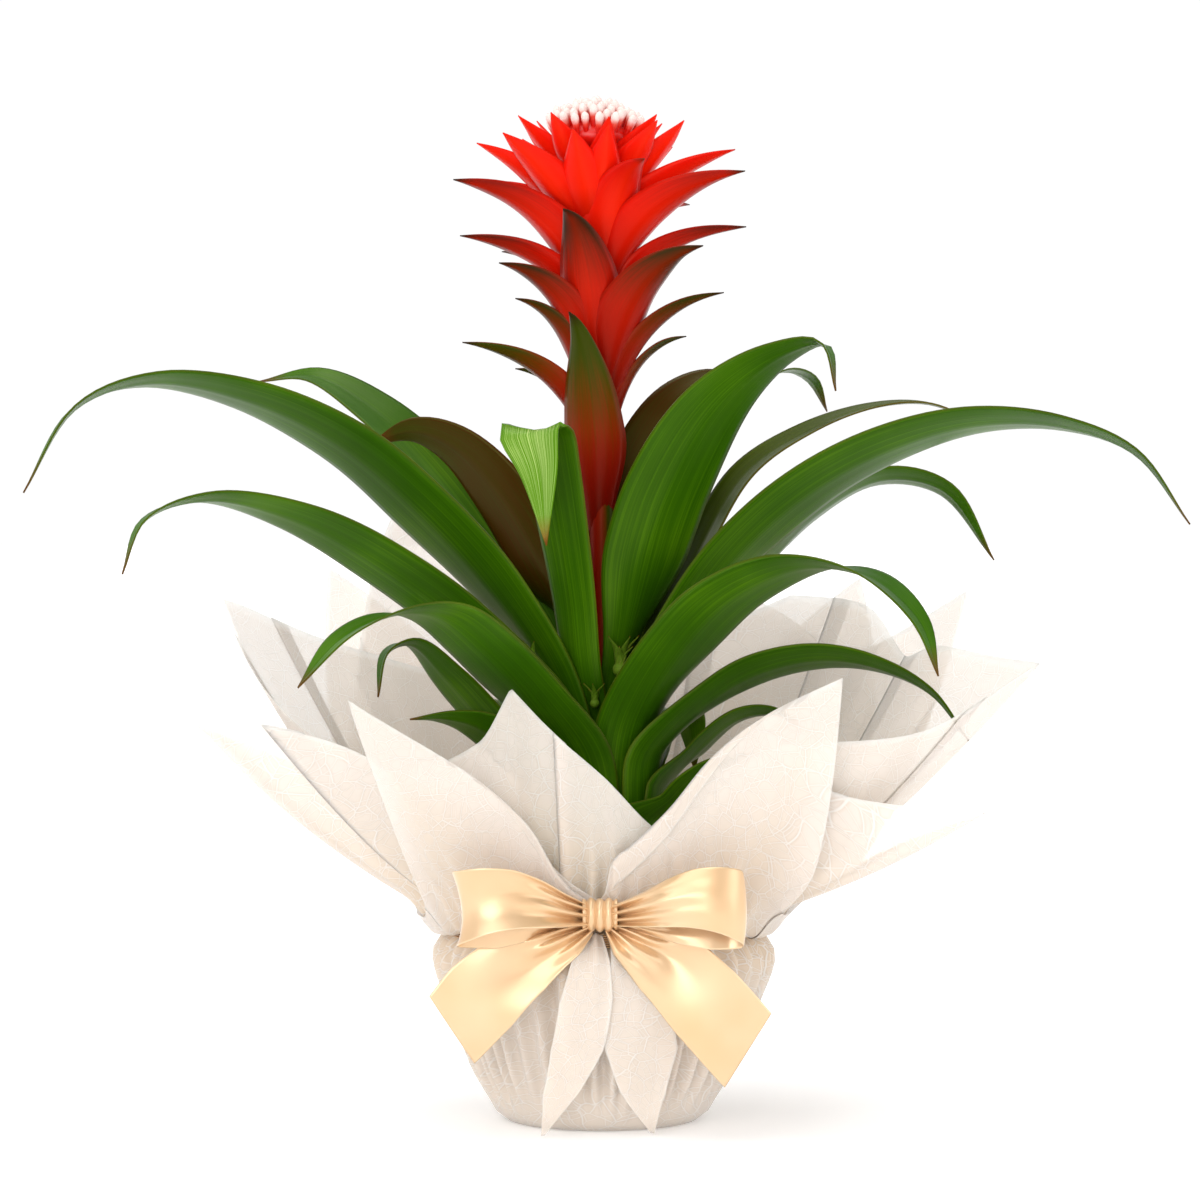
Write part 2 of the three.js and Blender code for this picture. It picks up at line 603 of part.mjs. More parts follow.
// Bow. Loop rows run from the knot along the front of the loop, round its end and back to the
// knot behind: distance from the knot's middle, y, z and half the ribbon's width. stretch makes
// the right loop a little longer than the left.
const KNOT_CENTRE = [-1, -77.5, 99.5];
const KNOT_REACH = [7.6, 5.5, 6.9];
const LOOP_START = 7.55;
const loopRows = [
  [LOOP_START, -80, 99.5, 4.5], [15, -89, 101, 8], [25, -97, 102, 12], [37, -101, 102.5, 15],
  [47, -102, 102, 16.5], [55, -100, 101.5, 17], [59.5, -95, 101.5, 17], [59, -89, 102, 17],
  [53, -86, 102, 16.5], [44, -87, 102.5, 15], [33, -86, 102.5, 12], [21, -81, 102, 9],
  [12, -76.5, 100.5, 6], [LOOP_START, -75.3, 99.5, 4.5],
];

function loopGeometry(side, stretch) {
  const stations = loopRows.map(([x, y, z, half]) => ({
    middle: new THREE.Vector3(KNOT_CENTRE[0] + side * (LOOP_START + stretch * (x - LOOP_START)), y, z),
    across: new THREE.Vector3(0, 0, 1),
    half,
  }));
  return strip(stations, RIBBON_THICKNESS);
}
add('bow_loop_left', loopGeometry(-1, 1), 'ribbon');
add('bow_loop_right', loopGeometry(1, 1.08), 'ribbon');

const knot = new THREE.SphereGeometry(1, 12, 8);
knot.rotateX(Math.PI / 2);
knot.scale(...KNOT_REACH);
knot.translate(...KNOT_CENTRE);
add('bow_knot', knot, 'ribbon');

// Tails: place of the middle of the ribbon, the direction across it and half its width
const tailRows = {
  ribbon_tail_left: [
    [[-5.9, -77.5, 93.7], [0.8, 0, -0.6], 3], [[-20, -82, 87], [0.9, 0, -0.35], 11],
    [[-37, -82, 78], [0.75, 0, -0.6], 16],
    [[-52, -82, 64.5], [0.7, 0.05, -0.7], 18], [[-65, -81, 50], [0.54, 0.1, -0.84], 18],
  ],
  ribbon_tail_right: [
    [[3.9, -77.5, 93.7], [0.8, 0, 0.6], 3], [[15, -82, 87], [0.9, 0, 0.35], 11],
    [[29, -82, 78], [0.78, 0, 0.6], 16.5],
    [[44, -82, 62.5], [0.7, -0.05, 0.7], 18.5], [[63, -81, 41], [0.53, -0.1, 0.85], 19],
  ],
};
for (const [name, rows] of Object.entries(tailRows)) {
  const stations = rows.map(([middle, across, half]) => ({
    middle: vector(middle), across: vector(across), half,
  }));
  add(name, strip(stations, RIBBON_THICKNESS), 'ribbon');
}

// Two points of fabric that hang down the front from under the knot
const pointRows = {
  wrap_point_left: [
    [[-4, -71.7, 90], [1, -0.05, 0], 4], [[-5, -80, 79], [1, 0, 0], 8.4], [[-7, -79, 62], [1, 0, 0], 11.5],
    [[-11, -72.5, 40], [1, -0.05, 0], 11.5], [[-18, -66, 20], [1, -0.1, 0.1], 8],
    [[-26, -60, 1], [1, 0, 0.2], 0.8],
  ],
  wrap_point_right: [
    [[7, -71.5, 90], [1, 0.1, 0], 3.8], [[12.4, -78.5, 79], [1, 0.05, 0], 8.8], [[15, -76.5, 62], [1, 0, 0], 14],
    [[17, -69.5, 40], [1, 0.1, 0], 16], [[18, -62, 20], [1, 0.1, 0], 10], [[22, -54, 1], [1, 0.1, 0], 0.8],
  ],
};
for (const [name, rows] of Object.entries(pointRows)) {
  const stations = rows.map(([middle, across, half]) => ({
    middle: vector(middle), across: vector(across), half,
  }));
  add(name, strip(stations, SHEET_THICKNESS), 'wrap');
}

const BAND_RADIUS = NECK_RADIUS + 3 * SHEET_PITCH + 2 * GAP;
const BAND_FOOT = NECK_TOP - 9.5;
const BAND_HEAD = NECK_TOP - 3.6;
add('ribbon_band', turned([
  [BAND_RADIUS, BAND_FOOT],
  [BAND_RADIUS + RIBBON_THICKNESS, BAND_FOOT],
  [BAND_RADIUS + RIBBON_THICKNESS, BAND_HEAD],
  [BAND_RADIUS, BAND_HEAD],
  [BAND_RADIUS, BAND_FOOT],
], SHEET_COLUMNS), 'ribbon');

export default object;
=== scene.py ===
import math

import bpy
import numpy as np
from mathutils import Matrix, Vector


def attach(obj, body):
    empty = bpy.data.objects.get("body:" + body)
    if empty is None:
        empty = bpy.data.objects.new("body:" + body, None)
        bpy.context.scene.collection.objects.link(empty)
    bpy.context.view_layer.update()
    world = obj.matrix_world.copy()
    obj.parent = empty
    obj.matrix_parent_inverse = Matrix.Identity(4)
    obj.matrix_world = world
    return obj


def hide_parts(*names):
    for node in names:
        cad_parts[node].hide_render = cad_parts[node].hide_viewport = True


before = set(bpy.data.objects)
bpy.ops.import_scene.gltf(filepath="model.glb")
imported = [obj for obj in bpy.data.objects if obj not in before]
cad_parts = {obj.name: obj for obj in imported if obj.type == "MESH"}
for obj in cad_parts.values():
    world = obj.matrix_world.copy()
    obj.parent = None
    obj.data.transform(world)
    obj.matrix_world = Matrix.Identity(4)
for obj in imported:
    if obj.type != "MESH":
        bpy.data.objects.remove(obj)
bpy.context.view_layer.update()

MM = 0.001
SEAM = 0.02
TAU = 2 * math.pi
GOLDEN_ANGLE = math.radians(137.508)


# Small helpers

def deselect():
    if bpy.context.object and bpy.context.object.mode != "OBJECT":
        bpy.ops.object.mode_set(mode="OBJECT")
    bpy.ops.object.select_all(action="DESELECT")


def only(piece):
    deselect()
    piece.select_set(True)
    bpy.context.view_layer.objects.active = piece


def added(operator, name, **settings):
    """The object that an add operator makes, under its name"""
    deselect()
    operator(**settings)
    bpy.context.object.name = name
    return bpy.context.object


def mix(a, b, t):
    return a + (b - a) * t


def smooth(t):
    t = np.clip(t, 0.0, 1.0)
    return t * t * (3 - 2 * t)


def unit(vectors):
    return vectors / np.linalg.norm(vectors, axis=-1, keepdims=True)


def hermite(t, start, leaving, end, arriving):
    """A cubic from start to end, with its slopes at both"""
    return ((2 * t ** 3 - 3 * t ** 2 + 1) * start + (t ** 3 - 2 * t ** 2 + t) * leaving
            + (3 * t ** 2 - 2 * t ** 3) * end + (t ** 3 - t ** 2) * arriving)


def heading(azimuth):
    """Level direction at an azimuth in degrees, for one azimuth or an array of them"""
    turn = np.radians(azimuth)
    return np.stack([np.cos(turn), np.sin(turn), np.zeros_like(turn)], axis=-1)


def linear(red, green, blue):
    """Scene-linear colour of a colour given as 0 to 255"""
    def one(value):
        value /= 255
        return value / 12.92 if value <= 0.04045 else ((value + 0.055) / 1.055) ** 2.4
    return (one(red), one(green), one(blue), 1.0)


def shade(value):
    """A node's colour, from its red, green and blue of 0 to 255 or from one number for a grey"""
    if isinstance(value, tuple):
        return linear(*value)
    return value if hasattr(value, "is_output") else (value, value, value, 1)


def wander(x, seed):
    """A smooth wave without a period that shows, for an array, about -1 to 1"""
    rng = np.random.default_rng(seed)
    total = np.zeros_like(x)
    for _ in range(4):
        total += np.sin(x * rng.uniform(0.5, 1.6) + rng.uniform(0, TAU))
    return total / 2.6


def points_of(piece):
    flat = np.empty(len(piece.data.vertices) * 3)
    piece.data.vertices.foreach_get("co", flat)
    return flat.reshape(-1, 3)


def place_points(piece, points):
    piece.data.vertices.foreach_set("co", np.ascontiguousarray(points, dtype=np.float32).ravel())
    piece.data.update()


def edit_all():
    bpy.ops.object.mode_set(mode="EDIT")
    bpy.ops.mesh.select_all(action="SELECT")


def finish_mesh(piece, merge=0.0):
    """Closes seams, turns the faces outwards and shades them smooth"""
    only(piece)
    edit_all()
    if merge:
        bpy.ops.mesh.remove_doubles(threshold=merge * MM)
    bpy.ops.mesh.normals_make_consistent(inside=False)
    bpy.ops.object.mode_set(mode="OBJECT")
    bpy.ops.object.shade_smooth()


def thicken(piece, thickness):
    """Gives a sheet its thickness, half of it on either side"""
    only(piece)
    wall = piece.modifiers.new("wall", "SOLIDIFY")
    wall.thickness = thickness * MM
    wall.offset = 0.0
    wall.use_even_offset = False
    bpy.ops.object.modifier_apply(modifier="wall")


def grid_piece(name, along, across, place):
    """A grid with its points moved to place(u, v) in mm: u is 0 to 1 along it, v is -1 to 1"""
    piece = added(
        bpy.ops.mesh.primitive_grid_add, name, x_subdivisions=along, y_subdivisions=across, size=2)
    flat = points_of(piece)
    place_points(piece, place((flat[:, 0] + 1) / 2, flat[:, 1]) * MM)
    return piece


def mark(piece, name, values):
    """A value for each point of the piece, which its material reads"""
    values = np.broadcast_to(np.asarray(values, dtype=np.float32), len(piece.data.vertices))
    layer = piece.data.attributes.new(name, "FLOAT", "POINT")
    layer.data.foreach_set("value", np.ascontiguousarray(values))


def mark_flat(piece, across, along):
    """Where each point lies on the flat cloth in metres, for the material to read"""
    layer = piece.data.attributes.new("flat", "FLOAT_VECTOR", "POINT")
    flat = np.column_stack([across, along, np.zeros_like(across)])
    layer.data.foreach_set("vector", np.ascontiguousarray(flat, dtype=np.float32).ravel())


def grid_places(piece):
    """Each point's place along and across its grid, 0 to 1, from the UV map"""
    places = np.zeros((len(piece.data.vertices), 2))
    uv = piece.data.uv_layers[0].data
    for loop in piece.data.loops:
        places[loop.vertex_index] = uv[loop.index].uv
    return places[:, 0], places[:, 1]


def joined(pieces, name):
    """One piece from several, by joining them"""
    deselect()
    for piece in pieces:
        piece.select_set(True)
    bpy.context.view_layer.objects.active = pieces[0]
    bpy.ops.object.join()
    pieces[0].name = name
    return pieces[0]


def stands_for(piece, node, material):
    """The piece takes the place of its solid"""
    piece.data.materials.clear()
    piece.data.materials.append(material)
    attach(piece, "root")
    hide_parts(node)


# Materials

def feed(tree, socket, value):
    """Links an output to a socket, or sets the socket's value"""
    if hasattr(value, "is_output"):
        tree.links.new(value, socket)
    else:
        socket.default_value = value


def add_node(tree, kind, inputs=(), **settings):
    made = tree.nodes.new(kind)
    for key, value in settings.items():
        setattr(made, key, value)
    for socket, value in dict(inputs).items():
        feed(tree, made.inputs[socket], value)
    return made


class Finish:
    """A material on one Principled shader, with short calls for the nodes that feed it"""

    def __init__(self, name, roughness, **sockets):
        self.material = bpy.data.materials.new(name)
        self.material.use_nodes = True
        self.tree = self.material.node_tree
        self.shader = self.tree.nodes["Principled BSDF"]
        self.into("Roughness", roughness)
        for socket, value in sockets.items():
            self.into(socket.replace("_", " "), value)

    def node(self, kind, inputs=(), **settings):
        return add_node(self.tree, kind, inputs, **settings)

    def place(self, scale=(1, 1, 1), source="Object"):
        coordinates = self.node("ShaderNodeTexCoord").outputs[source]
        return self.node("ShaderNodeMapping", {"Vector": coordinates, "Scale": scale}).outputs[0]

    def read(self, name, output="Fac"):
        """What the points of the piece are marked with"""
        return self.node("ShaderNodeAttribute", attribute_name=name).outputs[output]

    def way(self, axis):
        return self.node("ShaderNodeSeparateXYZ", {"Vector": self.place(source="UV")}).outputs[axis]

    def along(self):
        """The share along the piece, from its UV map"""
        return self.way("X")

    def across(self):
        """0 in the middle of the piece and 1 at both edges"""
        return self.sum("ABSOLUTE", self.sum("MULTIPLY_ADD", self.way("Y"), 2.0, -1.0))

    def sum(self, operation, *values):
        return self.node("ShaderNodeMath", dict(enumerate(values)), operation=operation).outputs[0]

    def times(self, *values):
        return self.sum("MULTIPLY", *values)

    def cloud(self, vector, scale, detail=3.0, roughness=0.5):
        inputs = {"Vector": vector, "Scale": scale, "Detail": detail, "Roughness": roughness}
        return self.node("ShaderNodeTexNoise", inputs).outputs["Fac"]

    def ramp(self, value, *stops):
        """Colours along a value: each stop is its place and its shade"""
        made = self.node("ShaderNodeValToRGB", {"Fac": value})
        elements = made.color_ramp.elements
        elements.remove(elements[1])
        for number, (position, colour) in enumerate(stops):
            element = elements.new(position) if number else elements[0]
            element.position = position
            element.color = shade(colour)
        return made.outputs["Color"]

    def blend(self, share, low, high, how="MIX"):
        made = self.node("ShaderNodeMix", data_type="RGBA", blend_type=how)
        for socket, value in (("Factor", share), (6, shade(low)), (7, shade(high))):
            feed(self.tree, made.inputs[socket], value)
        return made.outputs[2]

    def bump(self, height, strength, distance):
        made = self.node("ShaderNodeBump", {
            "Height": height, "Strength": strength, "Distance": distance * MM})
        self.into("Normal", made.outputs[0])

    def colour(self, value):
        self.into("Base Color", value)

    def into(self, socket, value):
        feed(self.tree, self.shader.inputs[socket], value)


# Camera, floor and light

CAMERA_PLACE = (-0.001, -1.9, 0.285)
CAMERA_AIM = (-0.001, 0.0, 0.2336)
FRAME_WIDTH = 0.54
SENSOR_WIDTH = 36
FLOOR_WIDTH = 60
FLOOR_GLOW = 0.16
# Lamps: where each shines from, its width in degrees, its strength and its colour
LAMPS = {
    "key_light": ((-0.8, -0.9, 2.0), 56, 1.3, (1.0, 0.995, 0.99)),
    "top_light": ((0.0, 0.35, 2.0), 36, 1.0, (1, 1, 1)),
    "front_light": ((-0.45, -1.6, 0.4), 36, 1.02, (1, 1, 1)),
    "fill_light": ((1.6, -1.2, 0.7), 40, 0.5, (1, 1, 1)),
}
# Brightness of the room: an axis of the direction, two places along it and how bright it is at each
ROOM = (("Z", 0.3, 0.75, 1.02, 0.42), ("Y", -0.75, -0.1, 0.68, 1.0))


def set_camera():
    camera = added(bpy.ops.object.camera_add, "studio_camera", location=CAMERA_PLACE)
    reach = Vector(CAMERA_AIM) - Vector(CAMERA_PLACE)
    camera.rotation_euler = reach.to_track_quat("-Z", "Y").to_euler()
    camera.data.sensor_fit = "HORIZONTAL"
    camera.data.sensor_width = SENSOR_WIDTH
    camera.data.lens = SENSOR_WIDTH * reach.length / FRAME_WIDTH
    camera.data.clip_end = 20
    bpy.context.scene.camera = camera


def set_stage():
    """A wide pale floor, which the white room meets far behind"""
    floor = added(bpy.ops.mesh.primitive_plane_add, "studio_floor", size=FLOOR_WIDTH)
    paint = Finish(
        "studio_white", 0.9, Base_Color=(0.96, 0.96, 0.96, 1), Emission_Color=(1, 1, 1, 1),
        Emission_Strength=FLOOR_GLOW)
    floor.data.materials.append(paint.material)


def soft_light(name, source, angle, strength, colour):
    """A wide light from far away, so that it falls evenly on the object and all over the floor"""
    lamp = added(bpy.ops.object.light_add, name, type="SUN", location=source)
    lamp.data.angle = math.radians(angle)
    lamp.data.energy = strength
    lamp.data.color = colour
    lamp.rotation_euler = (-Vector(source)).to_track_quat("-Z", "Y").to_euler()


def set_light():
    """A room that is white at eye level, dimmer overhead and behind the camera, and the lamps"""
    world = bpy.data.worlds.new("studio_room")
    bpy.context.scene.world = world
    world.use_nodes = True
    tree = world.node_tree
    split = add_node(tree, "ShaderNodeSeparateXYZ", {
        0: add_node(tree, "ShaderNodeTexCoord").outputs["Generated"]})
    dims = []
    for axis, *limits in ROOM:
        inputs = dict(zip(("From Min", "From Max", "To Min", "To Max"), limits))
        inputs["Value"] = split.outputs[axis]
        dims.append(add_node(tree, "ShaderNodeMapRange", inputs).outputs[0])
    product = add_node(tree, "ShaderNodeMath", dict(enumerate(dims)), operation="MULTIPLY")
    feed(tree, tree.nodes["Background"].inputs["Strength"], product.outputs[0])
    tree.nodes["Background"].inputs["Color"].default_value = (1, 1, 1, 1)
    for name, lamp in LAMPS.items():
        soft_light(name, *lamp)
    bpy.context.scene.view_settings.view_transform = "Standard"


set_camera()
set_stage()
set_light()


# Finishes

LEAF_ROUGHNESS = 0.34
TURNED_ROUGHNESS = 0.2
TURNED_SHARE = 0.818


def leaf_finish(name, dark, mid, light, tip, turned=False):
    """Strap leaf: fine grain along the blade, a paler foot, a thin darker edge and a dry tip. Past
    the share TURNED_SHARE a turned blade shows its other face, which is glossier, and is painted
    paler with pale streaks as a painted highlight where it faces the light."""
    finish = Finish(
        name, LEAF_ROUGHNESS, Specular_IOR_Level=0.22, Specular_Tint=(0.85, 1.0, 0.3, 1))
    grain = finish.cloud(finish.place((2.5, 46, 1), "UV"), 1.0, 4.0, 0.6)
    patches = finish.cloud(finish.place(), 22.0, 1.0)
    share = finish.sum("MULTIPLY_ADD", grain, 0.6, finish.times(patches, 0.4))
    green = finish.ramp(share, (0.25, dark), (0.5, mid), (0.75, light))
    foot = finish.ramp(finish.along(), (0.0, 1.0), (0.3, 0.0))
    green = finish.blend(finish.times(foot, 0.3), green, light)
    edge = finish.ramp(finish.across(), (0.93, 0.0), (0.99, 1.0))
    green = finish.blend(finish.times(edge, 0.28), green, tip)
    rough = finish.ramp(grain, (0.1, LEAF_ROUGHNESS - 0.06), (0.9, LEAF_ROUGHNESS + 0.08))
    if turned:
        other = finish.ramp(
            finish.along(), (TURNED_SHARE - 0.006, 0.0), (TURNED_SHARE + 0.006, 1.0))
        # Painted highlight: the turned face is painted pale green with near-white streaks where it
        # faces the light.
        turned_face_highlight = finish.ramp(share, (0.3, (52, 98, 6)), (0.5, (82, 130, 16)), (0.68, (178, 202, 118)))
        green = finish.blend(other, green, turned_face_highlight)
        rough = finish.blend(other, rough, TURNED_ROUGHNESS)
    dry = finish.ramp(finish.along(), (0.955, 0.0), (0.995, 1.0))
    finish.colour(finish.blend(dry, green, tip))
    finish.into("Roughness", rough)
    finish.bump(grain, 0.3, 0.2)
    return finish.material


def bract_finish():
    """Bracts: red at the foot, with a green or brown tip that reddens from ripe 0, low on the
    spike, to ripe 1 at its top. Painted shade darkens each bract towards its foot, where the bracts
    overlap."""
    finish = Finish("red_bract", 0.34, Specular_IOR_Level=0.16, Specular_Tint=(1.0, 0.6, 0.4, 1))
    ripe = finish.read("ripe")
    foot = finish.ramp(
        ripe, (0.0, (152, 22, 5)), (0.2, (146, 20, 5)), (0.36, (164, 17, 3)),
        (0.6, (196, 15, 2)), (1.0, (232, 20, 4)))
    tip = finish.ramp(
        ripe, (0.0, (52, 64, 3)), (0.22, (44, 48, 4)), (0.45, (48, 26, 10)),
        (0.66, (96, 14, 6)), (0.85, (196, 12, 5)), (1.0, (232, 24, 10)))
    streak = finish.cloud(finish.place((2, 26, 1), "UV"), 1.0, 3.0)
    reach = finish.sum("MULTIPLY_ADD", streak, 0.3, finish.along())
    start = finish.sum("MULTIPLY_ADD", ripe, 0.27, 0.39)
    stop = finish.sum("MULTIPLY_ADD", ripe, 0.08, 0.94)
    share = finish.node("ShaderNodeMapRange", {
        "Value": reach, "From Min": start, "From Max": stop},
        interpolation_type="SMOOTHSTEP").outputs[0]
    colour = finish.blend(share, foot, tip)
    glow = finish.ramp(finish.across(), (0.0, 0.4), (0.75, 0.0))
    red = finish.blend(finish.times(glow, ripe), colour, (244, 44, 6))
    # Painted shade: the colour is darkened towards each bract's foot, where the bracts overlap.
    painted_foot_shade = finish.ramp(finish.along(), (0.0, (176, 140, 140)), (0.45, (255, 255, 255)))
    red = finish.blend(1.0, red, painted_foot_shade, "MULTIPLY")
    edge = finish.ramp(finish.across(), (0.9, 0.0), (1.0, 0.55))
    red = finish.blend(edge, red, finish.blend(0.5, foot, (150, 40, 26)))
    dry = finish.ramp(finish.along(), (0.9, 0.0), (0.99, 1.0))
    young = finish.ramp(ripe, (0.8, 1.0), (1.0, 0.0))
    finish.colour(finish.blend(finish.times(dry, young), red, (44, 26, 12)))
    finish.bump(streak, 0.25, 0.2)
    return finish.material


def floret_finish():
    """Waxy buds: white at the tip, pink below it and red at the foot"""
    finish = Finish("floret", 0.32)
    speckle = finish.cloud(finish.place(), 380.0, 2.0)
    reach = finish.sum("MULTIPLY_ADD", speckle, 0.14, finish.along())
    finish.colour(finish.ramp(
        reach, (0.48, (220, 24, 10)), (0.62, (236, 84, 66)), (0.72, (240, 172, 162)),
        (0.83, (246, 226, 220)), (1.06, (244, 216, 208))))
    finish.bump(finish.cloud(finish.place((3, 20, 1), "UV"), 1.0, 2.0), 0.2, 0.1)
    return finish.material


# Nets of fibres in the fabric: cells a metre, a fibre's width in cells, and its strength
FIBRE_NETS = ((95.0, 0.03, 1.0), (125.0, 0.036, 0.85), (170.0, 0.044, 0.6))
FABRIC_ALPHA = 0.52


def fabric_finish():
    """Thin non-woven fabric: nets of fine raised fibres, with painted shadows beside them, on a
    cream ground, which is beige by the knot and nearly white at the rim: its beige where the cloth
    is gathered is painted shade of the gathers. open is 0 where the cloth is gathered and 1 at its
    rim."""
    finish = Finish("wrap_fabric", 0.75, Sheen_Weight=0.4)
    flat = finish.read("flat", "Vector")
    drift = finish.node("ShaderNodeTexNoise", {"Vector": flat, "Scale": 60.0, "Detail": 0.0})
    bent = finish.node(
        "ShaderNodeVectorMath", {0: drift.outputs["Color"], 1: (0.007, 0.007, 0), 2: flat},
        operation="MULTIPLY_ADD").outputs[0]
    net, fibre_shadows = 0.0, 0.0
    for scale, width, weight in FIBRE_NETS:
        cell = finish.node("ShaderNodeTexVoronoi", {"Vector": bent, "Scale": scale},
                           feature="DISTANCE_TO_EDGE", voronoi_dimensions="2D").outputs["Distance"]
        fibre = finish.ramp(cell, (0.0, weight), (width * 0.4, weight), (width, 0.0))
        # Painted shadow: a brownish band beside each raised fibre.
        fibre_shadow = finish.ramp(cell, (0.0, 0.0), (width, weight), (width * 3, 0.0))
        net = finish.sum("MAXIMUM", fibre, net)
        fibre_shadows = finish.sum("MAXIMUM", fibre_shadow, fibre_shadows)
    mottle = finish.cloud(finish.place(), 30.0, 3.0)
    reach = finish.sum("MULTIPLY_ADD", mottle, 0.2, finish.read("open"))
    # Painted shade: the ground turns beige where the cloth is gathered at the neck and just under
    # it.
    ground = finish.ramp(
        reach, (0.15, (238, 206, 170)), (0.4, (245, 225, 201)), (0.7, (245, 230, 213)),
        (1.1, (247, 237, 228)))
    # The painted shadows beside the fibres darken the ground here.
    shaded = finish.blend(finish.times(fibre_shadows, 0.2), ground, (218, 184, 148))
    cloth = finish.blend(finish.times(net, 0.95), shaded, (255, 251, 246))
    edge = finish.ramp(finish.read("rim"), (0.0, 0.0), (1.0, 0.9))
    finish.colour(finish.blend(edge, cloth, (254, 250, 244)))
    finish.into("Alpha", FABRIC_ALPHA)
    finish.bump(net, 0.6, 0.3)
    return finish.material


def satin_finish():
    """Satin ribbon: smooth and bright, with a very fine weave across and a thin selvedge"""
    finish = Finish("satin_ribbon", 0.31, Metallic=0.45, Coat_Weight=1.0, Coat_Roughness=0.26)
    place = finish.place()
    weave = finish.node("ShaderNodeTexWave", {
        "Vector": place, "Scale": 700.0, "Distortion": 1.5}).outputs["Fac"]
    cloud = finish.cloud(place, 26.0, 2.0)
    gold = finish.ramp(cloud, (0.3, (221, 180, 132)), (0.7, (230, 196, 154)))
    edge = finish.ramp(finish.across(), (0.95, 0.0), (0.97, 1.0))
    finish.colour(finish.blend(finish.times(edge, 0.4), gold, (240, 216, 176)))
    finish.bump(weave, 0.05, 0.05)
    return finish.material


def pot_finish():
    finish = Finish("nursery_pot_plastic", 0.6)
    cloud = finish.cloud(finish.place(), 60.0, 4.0)
    finish.colour(finish.ramp(cloud, (0.3, (112, 58, 36)), (0.7, (140, 76, 48))))
    finish.bump(cloud, 0.2, 0.3)
    return finish.material


def soil_finish():
    finish = Finish("potting_mix", 0.95)
    crumb = finish.node("ShaderNodeTexVoronoi", {
        "Vector": finish.place(), "Scale": 260.0}).outputs["Distance"]
    fine = finish.cloud(finish.place(), 320.0, 6.0, 0.7)
    finish.colour(finish.ramp(
        fine, (0.3, (24, 16, 12)), (0.55, (58, 42, 30)), (0.75, (96, 72, 50))))
    finish.bump(finish.sum("ADD", crumb, fine), 1.0, 2.5)
    return finish.material


GREEN = leaf_finish("green_leaf", (26, 62, 1), (46, 88, 2), (84, 128, 8), (86, 52, 18))
OLIVE = leaf_finish("olive_leaf", (46, 52, 8), (60, 74, 10), (88, 98, 20), (108, 44, 22))
DARK = leaf_finish("dark_inner_leaf", (72, 15, 2), (58, 36, 2), (42, 66, 4), (98, 32, 14))
TURNED = leaf_finish(
    "green_leaf_turned", (26, 62, 1), (46, 88, 2), (84, 128, 8), (122, 70, 24), turned=True)
SHOOT = leaf_finish("young_shoot", (56, 88, 10), (82, 116, 22), (126, 148, 50), (106, 54, 24))
BRACT = bract_finish()
FLORET = floret_finish()
FABRIC = fabric_finish()
SATIN = satin_finish()


# Lines and blades

class Line:
    """A centripetal Catmull-Rom line through points in mm, read by the share of its length"""

    def __init__(self, points, steps=60):
        points = np.array(points, dtype=float)
        ends = [2 * points[0] - points[1], *points, 2 * points[-1] - points[-2]]
        path = [points[0]]
        for i in range(len(points) - 1):
            path.extend(self.span(*ends[i:i + 4], np.linspace(0, 1, steps + 1)[1:]))
        self.path = np.array(path)
        gaps = np.linalg.norm(np.diff(self.path, axis=0), axis=1)
        self.run = np.concatenate([[0], np.cumsum(gaps)])
        self.length = self.run[-1]

    @staticmethod
    def span(a, b, c, d, t):
        ab, bc, cd = (max(np.linalg.norm(q - p), 1e-6) ** 0.5 for p, q in ((a, b), (b, c), (c, d)))
        start = ((b - a) / ab - (c - a) / (ab + bc) + (c - b) / bc) * bc
        end = ((c - b) / bc - (d - b) / (bc + cd) + (d - c) / cd) * bc
        return hermite(t[:, None], b, start, c, end)

    def at(self, share):
        run = np.clip(share, 0, 1) * self.length
        return np.stack([np.interp(run, self.run, self.path[:, k]) for k in range(3)], axis=-1)

    def along(self, share):
        step = 0.004
        return unit(self.at(np.minimum(share + step, 1)) - self.at(np.maximum(share - step, 0)))


def turned(vectors, axes, angles):
    """Vectors turned about unit axes by angles in radians"""
    cosine, sine = np.cos(angles)[:, None], np.sin(angles)[:, None]
    inline = np.sum(axes * vectors, axis=1, keepdims=True)
    return vectors * cosine + np.cross(axes, vectors) * sine + axes * inline * (1 - cosine)


def blade_points(line, share, side, lean, roll, half, curl, lift=0.0):
    """Points of a blade along a line: lean is the azimuth that it leans to, roll its turn about
    its own length, half its half width, curl the half angle that it curls through, and lift moves
    a point off the blade."""
    along = line.along(share)
    up = unit(np.cross(along, np.cross([0, 0, 1], heading(lean))))
    up = turned(up, along, np.radians(roll))
    right = np.cross(along, up)
    radius = (half / curl)[:, None]
    angle = (curl * side)[:, None]
    out = np.sin(angle) * right - np.cos(angle) * up
    return line.at(share) + up * radius + out * (radius - np.reshape(lift, (-1, 1)))


# Leaves: azimuth at the foot and the tip, width, roll in the middle and at the tip, finish, and the
# middle line as reach and height, with degrees that some points add to the azimuth. The rows are
# those of the solids, but for the two inner leaves, the front leaf and the olive leaf.

STALK_RADIUS = 6
GAP = 0.35
LEAF_THICKNESS = 1.1
SHEATH_SPAN = 0.9
SHEATH_FACET_BULGE = 0.027
SHEATH_FOOT = 76.2
SHEATH_SLOPE = 2.2
LEAF_GRID = (84, 14)
LEAF_WALL = 0.75
LEAF_CURL = 0.28
TIP_HALF = 0.12
LEAF_SEED = 40
# Widths of leaves that are narrower on their way to the fold
NARROWED = {"leaf_front": 23}

